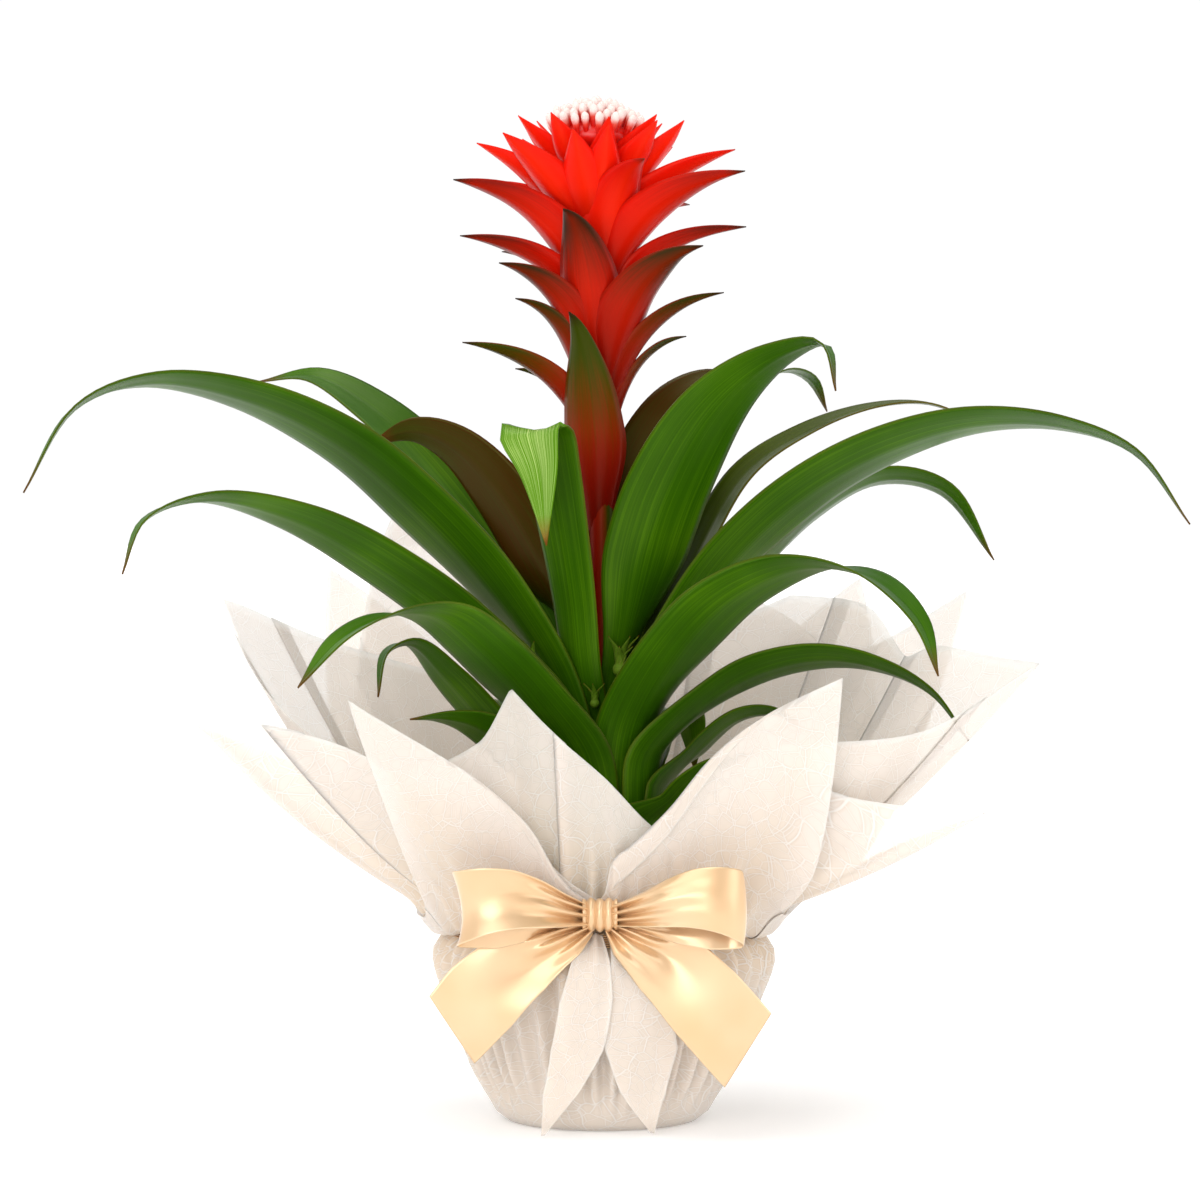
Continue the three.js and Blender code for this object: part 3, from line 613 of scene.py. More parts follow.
LEAVES = [
    ("leaf_inner_left", (165, 168), 34, (70, 62), DARK,
     [(20, 232), (48, 281), (69, 303), (88, 310), (108, 304)]),
    ("leaf_inner_right", (40, 38), 42, (40, 30), DARK,
     [(14, 240), (28, 290), (48, 322), (70, 334), (88, 330)]),
    ("leaf_broad_right", (312, 326), 40, (-34, -10), GREEN,
     [(18, 222), (40, 280), (68, 321), (96, 342), (116, 346), (122, 326)]),
    ("leaf_back_upright", (86, 84), 32, (0, 0), GREEN,
     [(15, 214), (34, 262), (66, 296), (104, 303), (140, 280)]),
    ("leaf_front", (241, 241), 32, (-4, 0), TURNED,
     [(22, 205), (28, 235), (37, 264), (48, 294), (55, 308), (63, 309), (67, 292, 5),
      (68, 259, 8)]),
    ("leaf_back_left", (150, 152), 38, (-20, -30), GREEN,
     [(26, 212), (54, 252), (86, 290), (120, 320), (152, 336), (182, 334)]),
    ("leaf_back_right", (48, 42), 36, (0, 0), GREEN,
     [(22, 224), (50, 284), (80, 320), (110, 338), (132, 335), (143, 320)]),
    ("leaf_left_long", (212, 205), 38, (24, 10), GREEN,
     [(26, 198), (55, 236), (92, 273), (130, 303), (172, 322), (215, 329), (247, 318), (270, 282)]),
    ("leaf_right_olive", (16, 18), 26, (10, 5), OLIVE,
     [(24, 210), (44, 252), (67, 290), (98, 310), (130, 321), (156, 323), (178, 317)]),
    ("leaf_right_long", (334, 350), 38, (-25, -10), GREEN,
     [(27, 200), (62, 250), (98, 282), (135, 302), (171, 312), (207, 311), (238, 299), (262, 268)]),
    ("leaf_left_low", (215, 214), 34, (25, 10), GREEN,
     [(27, 182), (60, 212), (108, 245), (158, 270), (203, 279), (232, 270), (242, 248)]),
    ("leaf_right_behind", (22, 10), 32, (-25, -20), GREEN,
     [(26, 180), (49, 216), (75, 245), (103, 273), (131, 288), (159, 283), (182, 251)]),
    ("leaf_back_arched", (112, 106), 36, (0, 0), GREEN,
     [(25, 177), (50, 219), (84, 245), (114, 242), (138, 220)]),
    ("leaf_front_right", (306, 318), 38, (-15, 5), GREEN,
     [(27, 180), (56, 213), (88, 237), (124, 250), (156, 246), (180, 228), (190, 205)]),
    ("leaf_front_left", (237, 233), 36, (12, 5), GREEN,
     [(28, 164), (57, 190), (92, 214), (120, 229), (148, 231), (182, 221), (208, 202)]),
    ("leaf_back_low", (72, 80), 34, (0, 0), GREEN,
     [(24, 166), (48, 194), (76, 212), (104, 212), (122, 199)]),
    ("leaf_left_drooping", (196, 204), 27, (25, 0), GREEN,
     [(28, 146), (50, 174), (74, 200), (92, 215), (104, 211), (108, 192)]),
    ("leaf_right_low", (342, 350), 26, (-30, -15), GREEN,
     [(27, 164), (48, 187), (70, 201), (98, 208), (123, 205), (148, 193), (165, 172)]),
    ("leaf_back_hanging", (58, 60), 26, (0, 0), GREEN,
     [(26, 152), (44, 170), (62, 181), (80, 176), (87, 152)]),
    ("leaf_back_left_low", (130, 124), 28, (0, 0), GREEN,
     [(30, 136), (48, 165), (70, 184), (94, 180)]),
    ("leaf_left_small", (226, 222), 26, (25, 20), GREEN,
     [(31, 142), (54, 167), (76, 180), (94, 184), (112, 184)]),
    ("leaf_right_small", (2, 8), 24, (-25, -20), GREEN,
     [(29, 148), (46, 168), (62, 180), (78, 182), (90, 177)]),
    ("leaf_right_lowest", (326, 334), 20, (-20, -20), GREEN,
     [(32, 134), (43, 148), (57, 160), (74, 167)]),
    ("leaf_back_lowest", (98, 104), 26, (0, 0), GREEN,
     [(33, 130), (52, 152), (78, 168), (100, 168)]),
]


def sheath_radii():
    """Each sheath is an arc round the stalk, outside every inner sheath that it overlaps"""
    radii = []
    for i, (_, azimuth, *_) in enumerate(LEAVES):
        radius = STALK_RADIUS + GAP + LEAF_THICKNESS / 2
        for other, inner in zip(LEAVES[:i], radii):
            turn = math.radians(abs((azimuth[0] - other[1][0] + 540) % 360 - 180))
            if turn < 2 * SHEATH_SPAN + 0.1:
                radius = max(radius, inner * (1 + SHEATH_FACET_BULGE) + LEAF_THICKNESS + GAP)
        radii.append(radius)
    return radii


def leaf_piece(row, radius, seed):
    name, (start, end), width, (roll_middle, roll_tip), material, path = row
    part_reach, part_height = path[0]
    total = path[-1][0]
    top = max(SHEATH_FOOT + 12, part_height - SHEATH_SLOPE * (part_reach - radius) - 6)
    points = []
    sheath_rows = [(radius, height) for height in (SHEATH_FOOT, top - 8, top)]
    for reach, height, *turn in sheath_rows + path:
        azimuth = mix(start, end, smooth((reach - radius) / (total - radius))) + sum(turn)
        points.append([*(heading(azimuth)[:2] * reach), height])
    line = Line(points)
    sheath = top - SHEATH_FOOT
    fold = (line.run[np.argmax(line.path[:, 2])] - sheath) / (line.length - sheath)

    def place(u, v):
        free = (u * line.length - sheath) / (line.length - sheath)
        roll = np.where(
            free < 0.5, roll_middle * smooth(free / 0.4),
            mix(roll_middle, roll_tip, smooth((free - 0.5) / 0.5)))
        widening = mix(radius * SHEATH_SPAN, width / 2, smooth(free / 0.3))
        tapering = width / 2 * (1 - np.maximum(0, (free - 0.35) / 0.65) ** 2.1)
        half = np.maximum(np.where(free < 0.35, widening, tapering), TIP_HALF)
        if name in NARROWED:
            widths = (radius * SHEATH_SPAN, NARROWED[name] / 2, width / 2, TIP_HALF)
            half = np.interp(free, (0, 0.3, fold, 1), widths)
        curl = mix(SHEATH_SPAN, LEAF_CURL, smooth(free / 0.35))
        wave = wander(u * line.length / 16, seed) * smooth(free / 0.3) * (1 - free * 0.6)
        lift = 0.5 * wave * v ** 2 * np.minimum(half / 8, 1)
        rib = -0.5 * np.exp(-(v / 0.16) ** 2) * smooth(free / 0.2) * np.minimum(half / 8, 1)
        return blade_points(line, u, v, mix(start, end, smooth(free)), roll, half, curl, lift + rib)

    piece = grid_piece(name + "_blade", *LEAF_GRID, place)
    thicken(piece, LEAF_WALL)
    finish_mesh(piece)
    stands_for(piece, name, material)


for number, (row, radius) in enumerate(zip(LEAVES, sheath_radii())):
    leaf_piece(row, radius, LEAF_SEED + number)


# Flower spike. Bracts: azimuth, height of the foot, reach and height of the tip, and width

STALK_BEND_START = 230
STALK_TOP = 433
STALK_HEIGHTS = (52, 120, 180, 230, 270, 300, 330, 360, 390, 415, STALK_TOP)
STALK_TOP_OFFSET = -4
FUNNEL_START = 375
RIPE_FROM, RIPE_OVER = 288, 105
BRACT_GRID = (26, 8)
BRACT_WALL = 0.6
BRACT_SEED = 90
# The smaller bracts round the floret head
INNER_BRACTS = 8
INNER_FOOT, INNER_REACH, INNER_TIP, INNER_WIDTH = 414, 31, 448, 15
BRACTS = [
    (190, 392, 54, 438, 20), (215, 396, 50, 441, 22), (200, 418, 36, 450, 14),
    (170, 412, 33, 441, 14), (197, 362, 67, 421, 24), (165, 382, 54, 422, 18),
    (184, 352, 62, 397, 18), (205, 332, 49, 384, 20), (185, 316, 38, 369, 17),
    (192, 298, 63, 349, 16), (160, 296, 41, 338, 16), (345, 402, 41, 448, 20),
    (20, 402, 37, 438, 16), (350, 388, 63, 435, 18), (335, 366, 72, 424, 24),
    (10, 354, 68, 402, 18), (325, 328, 56, 391, 26), (5, 312, 56, 372, 16), (32, 300, 46, 353, 16),
    (300, 378, 42, 429, 26), (247, 336, 40, 407, 28), (244, 262, 33, 362, 28),
    (254, 396, 36, 442, 22), (45, 372, 60, 414, 22), (78, 384, 54, 431, 22),
    (108, 342, 58, 388, 22), (132, 374, 60, 418, 22), (62, 326, 52, 372, 20),
    (102, 302, 50, 346, 18), (142, 344, 56, 392, 20), (88, 404, 42, 446, 18),
    (122, 406, 44, 444, 18), (55, 408, 40, 446, 18), (280, 404, 34, 444, 18),
    (320, 408, 36, 447, 18),
]


def stalk_offset(height):
    share = (height - STALK_BEND_START) / (STALK_TOP - STALK_BEND_START)
    return STALK_TOP_OFFSET * max(share, 0) ** 1.5


def ripeness(height):
    """0 low on the spike, rising to 1 near its top"""
    return np.clip((height - RIPE_FROM) / RIPE_OVER, 0, 1)


def bezier(points, t):
    a, b, c, d = (np.array(p) for p in points)
    t = t[:, None]
    return (1 - t) ** 3 * a + 3 * (1 - t) ** 2 * t * b + 3 * (1 - t) * t ** 2 * c + t ** 3 * d


def bract_piece(row, seed):
    azimuth, foot, reach, tip_height, width = row
    rise = tip_height - foot
    funnel = float(smooth((foot - FUNNEL_START) / 30))

    def at(out, height):
        return [*(heading(azimuth)[:2] * out + [stalk_offset(foot), 0]), height]

    curve = bezier([
        at(STALK_RADIUS - 1.5, foot),
        at(STALK_RADIUS + mix(5, 9, funnel), foot + mix(0.5, 0.3, funnel) * rise),
        at(mix(0.42, 0.8, funnel) * reach, foot + mix(0.9, 0.75, funnel) * rise),
        at(reach, tip_height)], np.linspace(0, 1, 24))
    line = Line(curve, 6)
    roll = -32 * math.cos(math.radians(azimuth))

    def place(u, v):
        widening = mix(0.45, 1, smooth(u / 0.4))
        tapering = 1 - np.maximum((u - 0.4) / 0.6, 0) ** 1.35
        half = np.maximum(0.6 * width * np.where(u < 0.4, widening, tapering), 0.1)
        curl = mix(1.2, 0.7, smooth(u))
        wave = wander(u * line.length / 9, seed) * smooth(u / 0.3) * 0.5
        lift = wave * v ** 2 * np.minimum(half / 6, 1)
        rib = -0.35 * np.exp(-(v / 0.18) ** 2) * smooth(u / 0.3) * np.minimum(half / 5, 1)
        lean, turn = np.full_like(u, azimuth), np.full_like(u, roll)
        return blade_points(line, u, v, lean, turn, half, curl, lift + rib)

    piece = grid_piece("bract", *BRACT_GRID, place)
    thicken(piece, BRACT_WALL)
    mark(piece, "ripe", ripeness(foot))
    return piece


def spike_stalk():
    """The flower stalk: a circle drawn up along its bend by extrusion"""
    stalk = added(
        bpy.ops.mesh.primitive_circle_add, "stalk",
        vertices=20, radius=STALK_RADIUS * MM, fill_type="NGON")
    place_points(stalk, points_of(stalk) + [0, 0, STALK_HEIGHTS[0] * MM])
    edit_all()
    for low, high in zip(STALK_HEIGHTS, STALK_HEIGHTS[1:]):
        shift = (stalk_offset(high) - stalk_offset(low)) * MM
        bpy.ops.mesh.extrude_region_move(
            TRANSFORM_OT_translate={"value": (shift, 0, (high - low) * MM)})
    bpy.ops.object.mode_set(mode="OBJECT")
    mark(stalk, "ripe", ripeness(points_of(stalk)[:, 2] / MM))
    return stalk


def flower_spike():
    rows = list(BRACTS)
    for i in range(INNER_BRACTS):
        rows.append((
            i * 360 / INNER_BRACTS + 12, INNER_FOOT + 4 * (i % 2), INNER_REACH + 2 * (i % 3),
            INNER_TIP + 2 * (i % 2), INNER_WIDTH))
    pieces = [bract_piece(row, BRACT_SEED + i) for i, row in enumerate(rows)]
    spike = joined([spike_stalk(), *pieces], "flower_spike_bracts")
    finish_mesh(spike)
    stands_for(spike, "flower_spike", BRACT)


flower_spike()


# Floret head: one bud is modelled, and its copies stand in a spiral over a dome

DOME_TOP = 450
DOME_DROP = 8
DOME_REACH = 18
FLORET_COUNT = 70
FLORET_LENGTH = 14
FLORET_SEED = 7
BUD_GRID = (12, 10)
BUD_SEAM = 0.05
# The core that the buds stand on: height of its middle, and how far it reaches up and down
CORE_MIDDLE, CORE_RISE, CORE_DROP = 441, 8, 7.5
# A bud's radius, by the share of its height
BUD_SHARES = (0, 0.3, 0.55, 0.7, 0.8, 0.88, 0.94, 0.98, 1)
BUD_RADII = (1.1, 1.4, 1.7, 2.05, 2.1, 1.85, 1.4, 0.8, 0.02)


def bud_points(u, v):
    """One bud standing on the origin: u runs up it and v round it"""
    turn = v * math.pi
    ridge = 1 + 0.07 * np.cos(3 * turn) * smooth(u / 0.6)
    radius = np.interp(u, BUD_SHARES, BUD_RADII) * ridge
    return np.stack([radius * np.cos(turn), radius * np.sin(turn), u * FLORET_LENGTH], -1)


def floret_head():
    core = added(
        bpy.ops.mesh.primitive_uv_sphere_add, "core", segments=28, ring_count=14, radius=1)
    ball = points_of(core)
    reach = (DOME_REACH - 1.5) * ball[:, :2]
    height = CORE_MIDDLE + np.where(ball[:, 2] > 0, CORE_RISE, CORE_DROP) * ball[:, 2]
    place_points(core, np.column_stack([reach[:, 0] + STALK_TOP_OFFSET, reach[:, 1], height]) * MM)
    for loop in core.data.uv_layers[0].data:
        loop.uv = (0.1, 0.5)
    bud = grid_piece("bud", *BUD_GRID, bud_points)
    finish_mesh(bud, BUD_SEAM)
    shape = points_of(bud) / MM
    pieces = [core]
    rng = np.random.default_rng(FLORET_SEED)
    for i in range(FLORET_COUNT):
        share = math.sqrt((i + 0.5) / FLORET_COUNT)
        out = heading(math.degrees(i * GOLDEN_ANGLE))
        foot = out * (DOME_REACH - 1.2) * share
        height = DOME_TOP - 3.6 - DOME_DROP * share ** 2 + rng.uniform(-0.7, 0.7)
        foot += [STALK_TOP_OFFSET, 0, height]
        lean = np.array([0, 0, 1]) + out * 0.5 * share
        turn = Vector((0, 0, 1)).rotation_difference(Vector(lean / np.linalg.norm(lean)))
        size = rng.uniform(0.86, 0.98)
        only(bud)
        bpy.ops.object.duplicate()
        copy = bpy.context.object
        matrix = np.array(turn.to_matrix())
        place_points(copy, (shape * size @ matrix.T + foot) * MM)
        pieces.append(copy)
    only(bud)
    bpy.ops.object.delete()
    head = joined(pieces, "floret_head_buds")
    bpy.ops.object.shade_smooth()
    stands_for(head, "floret_head", FLORET)


floret_head()


# Side shoots in the leaf axils: azimuth, reach and height of the bud, its radius, leaflet length

LEAFLET_GRID = (16, 6)
LEAFLET_WALL = 0.5
LEAFLET_TURNS = (-70, 0, 70, 35, -35)
SHOOTS = {
    "side_shoot_right": (300, 16.4, 203, 4, 15),
    "side_shoot_left": (216, 39, 208, 2.4, 8),
    "side_shoot_front": (260, 19.3, 188, 2.4, 9),
}


def shoot_piece(name, row):
    azimuth, reach, height, radius, length = row
    centre = heading(azimuth) * reach + [0, 0, height]
    bud = added(bpy.ops.mesh.primitive_uv_sphere_add, "bud", segments=16, ring_count=10, radius=1)
    place_points(bud, (points_of(bud) * radius * 0.9 + centre) * MM)
    pieces = [bud]
    for number, turn in enumerate(LEAFLET_TURNS):
        azimuth_here = azimuth + turn
        lean = heading(azimuth_here)
        tall = length * (1 if number < 3 else 0.7)
        foot = centre + lean * radius * 0.2
        middle = foot + lean * 0.18 * tall + [0, 0, 0.6 * tall]
        tip = foot + lean * 0.5 * tall + [0, 0, tall]
        line = Line([foot, mix(foot, middle, 0.6), middle, tip], 20)

        def place(u, v, line=line, azimuth_here=azimuth_here):
            half = np.maximum(radius * (0.7 - 0.5 * u * u) * (1 - u ** 3), 0.08)
            lean, roll, curl = (np.full_like(u, value) for value in (azimuth_here, 0, 0.8))
            return blade_points(line, u, v, lean, roll, half, curl)

        leaflet = grid_piece("leaflet", *LEAFLET_GRID, place)
        thicken(leaflet, LEAFLET_WALL)
        pieces.append(leaflet)
    shoot = joined(pieces, name + "_leaflets")
    finish_mesh(shoot)
    stands_for(shoot, name, SHOOT)


for name, row in SHOOTS.items():
    shoot_piece(name, row)


# Wrap sheets: under the pot, up its wall, in at the neck and out in petals

SHEET_PITCH = 0.95
SHEET_SEAT = 0.65
SHEET_WALL = 0.2
COLUMNS = 432
ROWS = 72
WALL_STACK = 3 * SHEET_PITCH
NECK_RADIUS = 66.5
NECK_TOP = 94
BAND_MIDDLE = 87.5
BODY = Line([
    (0, 0, WALL_STACK), (30, 0, WALL_STACK), (42, 0, WALL_STACK), (44.6, 0, WALL_STACK + 1.2),
    (49, 0, 11), (57, 0, 28), (66, 0, 53), (71.6, 0, 67), (73, 0, 75), (71, 0, 81),
    (NECK_RADIUS + 0.6, 0, 86), (NECK_RADIUS, 0, 90), (NECK_RADIUS, 0, NECK_TOP)], 12)
# Each sheet comes from a square-cornered cut with concave sides. In every direction the cut
# reaches as far as the sheet's profile is long.
# Each sheet's layer from the inside, and its rim as azimuth, and reach and rise from the neck
SHEETS = {
    "wrap_outer_sheet": (2, [
        (45, 106, 148), (90, 55, 60), (135, 117, 153), (153, 70, 60), (162, 45, 24), (180, 16, 5),
        (198, 16, 5), (207, 20, 9), (216, 46, 43), (225, 85, 101), (243, 26, 57), (250, 18, 43),
        (256, 12.5, 26), (262, 8.5, 16), (268, 6.5, 12), (271, 6.5, 16), (273, 8, 29),
        (279, 11, 37), (288, 20, 52), (297, 30, 72), (315, 77, 110), (324, 44, 24), (333, 22, 5),
        (351, 18, 3.5), (360, 24, 7), (369, 40, 24)]),
    "wrap_middle_sheet": (1, [
        (18, 111, 143), (36, 78, 114), (63, 93, 138), (90, 58, 80), (126, 101, 180), (162, 60, 56),
        (198, 123, 98), (216, 60, 72), (225, 40, 50), (243, 16, 42), (261, 5, 18), (270, 4, 12),
        (279, 5, 20), (297, 18, 50), (315, 40, 68), (324, 60, 60), (333, 118, 55), (351, 50, 24),
        (360, 60, 40), (369, 85, 88)]),
    "wrap_inner_sheet": (0, [
        (54, 85, 140), (99, 52, 96), (135, 56, 106), (180, 104, 140), (216, 50, 66), (234, 24, 80),
        (243, 20, 104), (252, 16, 90), (270, 12, 66), (288, 9, 44), (297, 12, 40), (315, 40, 78),
        (333, 90, 88), (351, 131, 112), (360, 112, 114), (369, 90, 118), (378, 82, 112),
        (396, 84, 136)]),
}
# A rim has corners at its outermost points that are farther out than this
TIP_REACH = 95


def rim_reader(rows):
    """Reach and rise of a rim at azimuths: eased through its rows, with a corner at every tip"""
    seen = {azimuth + turn: row for turn in (-360, 0, 360) for azimuth, *row in sorted(rows)}
    azimuths = np.array(sorted(seen), dtype=float)
    values = np.array([seen[azimuth] for azimuth in sorted(seen)], dtype=float)
    slopes = np.diff(values, axis=0) / np.diff(azimuths)[:, None]
    before = np.vstack([slopes[:1], slopes])
    after = np.vstack([slopes, slopes[-1:]])
    same = before * after > 0
    eased = np.where(same, 2 * before * after / np.where(same, before + after, 1), 0)
    far = np.hypot(values[:, 0], values[:, 1])
    tip = (far > np.roll(far, 1)) & (far > np.roll(far, -1)) & (far > TIP_REACH)
    leave = np.where(tip[:, None], after, eased)
    arrive = np.where(tip[:, None], before, eased)

    def read(azimuth):
        azimuth = np.mod(azimuth, 360)
        i = np.clip(np.searchsorted(azimuths, azimuth, side="right") - 1, 0, len(azimuths) - 2)
        span = (azimuths[i + 1] - azimuths[i])[:, None]
        t = (azimuth - azimuths[i])[:, None] / span
        return hermite(t, values[i], span * leave[i], values[i + 1], span * arrive[i + 1]).T

    return read


def gathers(azimuth):
    """Small folds round the neck, -1 to 1, alike on all three sheets so that they nest"""
    turn = np.radians(azimuth)
    return np.sin(44 * turn + 2.2 * np.sin(5 * turn)) * (0.8 + 0.2 * np.sin(7 * turn + 1))


def broad_folds(azimuth):
    """Wider folds of the cloth on the pot"""
    turn = np.radians(azimuth)
    return (0.6 * np.sin(13 * turn + 1.3 * np.sin(4 * turn))
            + 0.4 * np.sin(21 * turn + 1.7 * np.sin(3 * turn)))


def petal_waves(azimuth):
    """Slow bends along the rim, alike on all three sheets"""
    turn = np.radians(azimuth)
    return (np.sin(5 * turn + 0.8) + np.sin(8 * turn + 2.9) + 0.8 * np.sin(11 * turn + 5.1)) / 2


# Pleats, where the cloth laps over itself from the neck out: width in degrees and azimuths
PLEATS = {
    "wrap_outer_sheet": {4.5: (28, 63, 118, 152), 4: (207, 333)},
    "wrap_middle_sheet": {4.5: (8, 33, 77, 111, 142, 187, 322, 344), 4: (207,)},
    "wrap_inner_sheet": {5: (17, 41, 69, 110, 166, 306, 340), 4.5: (187, 209), 4: (257,)},
}
PLEAT_SPAN = 9
PLEAT_TURN = 2
PLEAT_LIFT = 0.38


def pleated(azimuth, opened, pleats):
    """Azimuth of cloth that laps over itself at each pleat, and its lift off the sheet"""
    moved, lift = azimuth.copy(), np.zeros(len(azimuth))
    for width, centre in ((width, centre) for width in pleats for centre in pleats[width]):
        side = (azimuth - centre + 180) % 360 - 180
        shift = width / 2 + PLEAT_TURN
        edges = (-PLEAT_SPAN, -PLEAT_TURN, PLEAT_TURN, PLEAT_SPAN)
        moved += opened * np.interp(side, edges, (0, shift, -shift, 0))
        edges = (-PLEAT_SPAN, -PLEAT_SPAN / 2, -PLEAT_TURN, PLEAT_TURN, PLEAT_SPAN / 2, PLEAT_SPAN)
        lift += opened * PLEAT_LIFT * np.interp(side, edges, (0, 1, 1, -1, -1, 0))
    return moved, lift


BODY_SHARE = 0.42
GATHER_DEPTH = 3.2
FLAT_TURN = 0.6


def lay_flat(sheet, turn, share):
    """Marks the flat cloth of a sheet: as far from its middle as its profile is long, over a part
    of a turn that keeps its net of fibres even where it is gathered"""
    column = np.round(turn * COLUMNS).astype(int)
    row = np.round(share * ROWS).astype(int)
    points = points_of(sheet)
    profile = np.zeros((ROWS + 1, COLUMNS + 1, 2))
    profile[row, column] = np.column_stack([np.hypot(points[:, 0], points[:, 1]), points[:, 2]])
    run = np.linalg.norm(np.diff(profile, axis=0), axis=2)
    run = np.vstack([np.zeros((1, COLUMNS + 1)), np.cumsum(run, axis=0)])[row, column]
    angle = (np.mod(turn - 0.25, 1) - 0.5) * TAU * FLAT_TURN
    mark_flat(sheet, run * np.sin(angle), run * np.cos(angle))


SAG_DEPTH = 9
SAG_PLACE, SAG_SPREAD = 9, 7


def sag(azimuth, out):
    """The petals hang over the neck and hide the band, but for those behind the bow"""
    aside = 1 - np.exp(-((azimuth - 270) / 38) ** 2)
    return SAG_DEPTH * aside * np.exp(-((out - SAG_PLACE) / SAG_SPREAD) ** 2) * smooth(out / 4)


def sheet_points(layer, rows, pleats):
    read = rim_reader(rows)
    distance = layer * SHEET_PITCH + SHEET_SEAT

    def place(u, v):
        share = (v + 1) / 2
        on_body = share < BODY_SHARE
        past = np.clip((share - BODY_SHARE) / (1 - BODY_SHARE), 0, 1) ** 1.2
        azimuth, lift = pleated(u * 360, smooth(past / 0.3), pleats)
        reach, rise = read(azimuth)
        low = BODY.at(np.minimum(share / BODY_SHARE, 1))
        tilt = BODY.along(np.minimum(share / BODY_SHARE, 1))
        power = 1.2 + 0.15 * np.cos(2 * np.radians(azimuth))
        out = reach * past
        steep = rise / reach * power * np.maximum(past, 0.02) ** (power - 1)
        flat, up = 1 / np.hypot(1, steep), steep / np.hypot(1, steep)
        climb = rise * past ** power
        radius = np.where(
            on_body, low[:, 0] + tilt[:, 2] * distance, NECK_RADIUS + out + up * distance)
        height = np.where(
            on_body, low[:, 2] - tilt[:, 0] * distance, NECK_TOP + climb - flat * distance)
        wall = smooth((height - 5) / 22)
        length = np.hypot(out, climb)
        spread = np.where(on_body, wall, np.exp(-(length / 44) ** 2) * (1 - smooth(past)))
        loose = smooth(np.where(on_body, BAND_MIDDLE - height, height - BAND_MIDDLE) / 16)
        radius = radius + spread * GATHER_DEPTH * (gathers(azimuth) - 1 + 0.65 * loose)
        radius = radius + broad_folds(azimuth) * 1.5 * loose * wall * on_body
        height = height - np.where(on_body, 0, sag(np.mod(azimuth, 360), out))
        bend = np.where(on_body, 0, lift + 3.4 * smooth(length / 110) * petal_waves(azimuth))
        points = heading(azimuth) * (radius - bend * up)[:, None]
        points[:, 2] = np.maximum(height + bend * flat, 0.05 + (2 - layer) * SHEET_PITCH)
        return points

    return place


def openness(share):
    """0 where the cloth is drawn together at the neck, 1 at the rim and about a half on the pot.
    Where it is low, the fabric's colour carries painted shade of the gathers.
    """
    flared = np.clip((share - BODY_SHARE) / (1 - BODY_SHARE), 0, 1)
    wall = smooth((1 - share / BODY_SHARE) / 0.3)
    return np.where(share > BODY_SHARE, 0.12 + 0.88 * flared ** 0.8, 0.12 + 0.62 * wall)


# Edges of the outer sheet's front petals that turn over outwards: first and last azimuth, width
# of the turned strip in mm, and whether it narrows towards its first end
TURNED_EDGES = [(236, 268, 7, True), (273, 311, 13, False)]
TURNED_LIFT = 0.9
TURNED_FLAT = (0.07, 0.01)


def turned_edge(name, layer, rows, first, last, width, narrows_first):
    place_cloth = sheet_points(layer, rows, PLEATS[name])
    start, stop = round(first / 360 * COLUMNS), round(last / 360 * COLUMNS)

    def place(u, v):
        column = np.round(start + u * (stop - start)) / COLUMNS
        back = (v + 1) / 2
        rim = place_cloth(column, np.ones_like(v))
        inner = place_cloth(column, np.full_like(v, 0.9))
        step = inner - rim
        run = np.linalg.norm(step, axis=1)
        taper = smooth((u if narrows_first else 1 - u) / 0.5)
        strip = np.minimum(width * taper, 4.5 * run) * back
        away = heading(column * 360)
        out = unit(away - (np.sum(away * step, axis=1) / run ** 2)[:, None] * step)
        lift = TURNED_LIFT * smooth(back * 3) * taper
        return rim + step / run[:, None] * strip[:, None] + out * lift[:, None]

    strip = grid_piece(name + "_turned", stop - start, 8, place)
    along, across = grid_places(strip)
    mark(strip, "open", 0.8)
    mark(strip, "rim", smooth((across - 0.86) / 0.1))
    mark_flat(strip, TURNED_FLAT[0] * along, TURNED_FLAT[1] * across)
    return strip


for name, (layer, rows) in SHEETS.items():
    sheet = grid_piece(name + "_cloth", COLUMNS, ROWS, sheet_points(layer, rows, PLEATS[name]))
    turn, share = grid_places(sheet)
    lay_flat(sheet, turn, share)
    mark(sheet, "open", openness(share))
    mark(sheet, "rim", smooth((share - 0.988) / 0.008))
    if name == "wrap_outer_sheet":
        strips = [turned_edge(name, layer, rows, *edge) for edge in TURNED_EDGES]
        sheet = joined([sheet, *strips], name + "_cloth")
    finish_mesh(sheet, SEAM)
    thicken(sheet, SHEET_WALL)
    bpy.ops.object.shade_smooth()
    stands_for(sheet, name, FABRIC)


# Ribbons and the hanging points: rows of the middle line, the direction across it, half the width

STRIP_STEPS = 30


def strip_points(rows, fold):
    """Points of a strip: its middle line and the direction across it are eased through the rows,
    and fold lifts its points off its face"""
    places, sides, halves = (np.array(column, dtype=float) for column in zip(*rows))
    middles = Line(places, STRIP_STEPS)
    shares = middles.run[::STRIP_STEPS] / middles.length
    sides = unit(sides)

    def place(u, v):
        side = unit(np.stack([np.interp(u, shares, sides[:, k]) for k in range(3)], -1))
        half = np.interp(u, shares, halves)
        face = unit(np.cross(middles.along(u), side))
        return middles.at(u) + side * (half * v)[:, None] + face * fold(u, v, half)[:, None]

    return place


KNOT_CENTRE = np.array([-1, -77.5, 99.5])
KNOT_REACH = (7.6, 5.5, 6.9)
LOOP_GRID = (160, 40)
